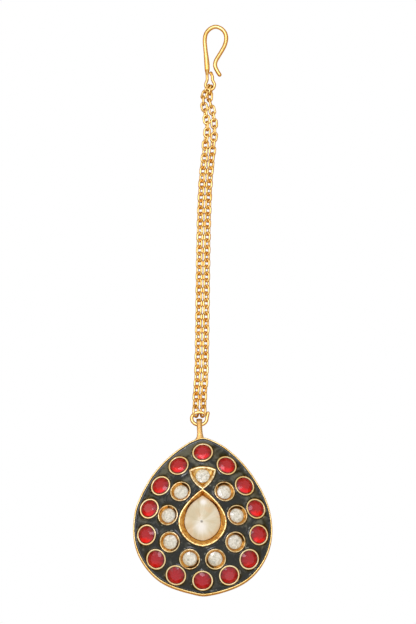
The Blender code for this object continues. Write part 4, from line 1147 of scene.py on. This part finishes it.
rim = rim_piece()
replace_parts(rim, "setting")
collars_piece("ruby_collars", [c for c in collars if c.node.startswith("ruby")], lip_gold)
collars_piece("polki_collars", [c for c in collars if not c.node.startswith("ruby")], open_collar_gold)
bail_piece()
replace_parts(enamel_piece(), "enamel")
for number, collar in enumerate(collars):
    if collar.node.startswith("ruby"):
        brilliant_piece(
            collar, "red_" + collar.node, BEZEL_WIDTH / 2 - RUBY_LIP, RUBY_CROWN, RUBY_BACK, 0.0,
            ruby_skin, RUBY_JITTER, number,
        )
    elif collar.node != "polki_centre":
        brilliant_piece(
            collar, "white_" + collar.node, POLKI_RADIUS, POLKI_CROWN, POLKI_BACK, POLKI_RECESS,
            polki_skin, POLKI_JITTER, number,
        )
    else:
        pear_piece(collar)
chain_piece("chain_left", -1)
chain_piece("chain_right", 1)
hook_piece()
jump_ring_piece()


def make_camera():
    """A long lens above the table, turned down to the target from the pendant's side."""
    lens = bpy.data.cameras.new("camera")
    lens.sensor_fit = "HORIZONTAL"
    lens.sensor_width = CAMERA_SENSOR
    lens.lens = CAMERA_LENS
    camera = bpy.data.objects.new("camera", lens)
    rise = math.radians(CAMERA_ELEVATION)
    camera.location = (
        TARGET[0],
        TARGET[1] - CAMERA_DISTANCE * math.cos(rise),
        TARGET[2] + CAMERA_DISTANCE * math.sin(rise),
    )
    camera.rotation_euler = (math.pi / 2 - rise, 0.0, 0.0)
    bpy.context.scene.collection.objects.link(camera)
    bpy.context.scene.camera = camera


def softbox(name, place, size, radiance, tint):
    """A square light of an even radiance that faces the object."""
    lamp = bpy.data.lights.new(name, "AREA")
    lamp.shape = "SQUARE"
    lamp.size = size
    lamp.energy = radiance * math.pi * size**2
    lamp.color = tint
    light = bpy.data.objects.new(name, lamp)
    light.location = place
    away = unit(np.array(place) - TARGET)
    level = math.hypot(away[0], away[1])
    light.rotation_euler = (math.atan2(level, away[2]), 0.0, math.atan2(away[0], -away[1]))
    bpy.context.scene.collection.objects.link(light)


def make_floor():
    """A table that is plain white to the camera and a warm tan to the object over it."""
    made, node = new_material("matt white board", Base_Color=colour("d0a868"), Roughness=0.9)
    tree = made.node_tree
    white = node("Emission", Color="ffffff", Strength=1.0)
    seen = node("LightPath", out="Is Camera Ray")
    both = node("MixShader", n0=seen, n1=tree.nodes["Principled BSDF"].outputs[0], n2=white)
    tree.links.new(both, tree.nodes["Material Output"].inputs["Surface"])
    mesh = bpy.data.meshes.new("floor")
    corners = [(x * FLOOR_REACH, y * FLOOR_REACH, 0.0) for x, y in ((-1, -1), (1, -1), (1, 1), (-1, 1))]
    mesh.from_pydata(corners, [], [(0, 1, 2, 3)])
    mesh.materials.append(made)
    floor = bpy.data.objects.new("floor", mesh)
    bpy.context.scene.collection.objects.link(floor)


def make_world():
    """A light tent: even and white above, warm and dim near the horizon, white to the camera."""
    world = bpy.data.worlds.new("room")
    bpy.context.scene.world = world
    world.use_nodes = True
    world.node_tree.nodes.clear()
    node = partial(add_node, world.node_tree)
    direction = node("TexCoord", out="Generated")
    height = node("SeparateXYZ", out=2, n0=direction)
    tones = [(0.02, "9c661a"), (0.2, "c08c34"), (0.4, "e4c480"), (0.56, "fff6dc"), (0.72, "ffffff")]
    tone = node("ValToRGB", stops=tones, n0=height)
    room = node("Background", Color=tone, Strength=0.88)
    seen = node("Background", Color="ffffff", Strength=1.0)
    path = node("LightPath", out="Is Camera Ray")
    both = node("MixShader", n0=path, n1=room, n2=seen)
    node("OutputWorld", Surface=both)


make_camera()
make_floor()
make_world()
for softbox_row in SOFTBOXES:
    softbox(*softbox_row)
bpy.context.scene.view_settings.view_transform = "Standard"
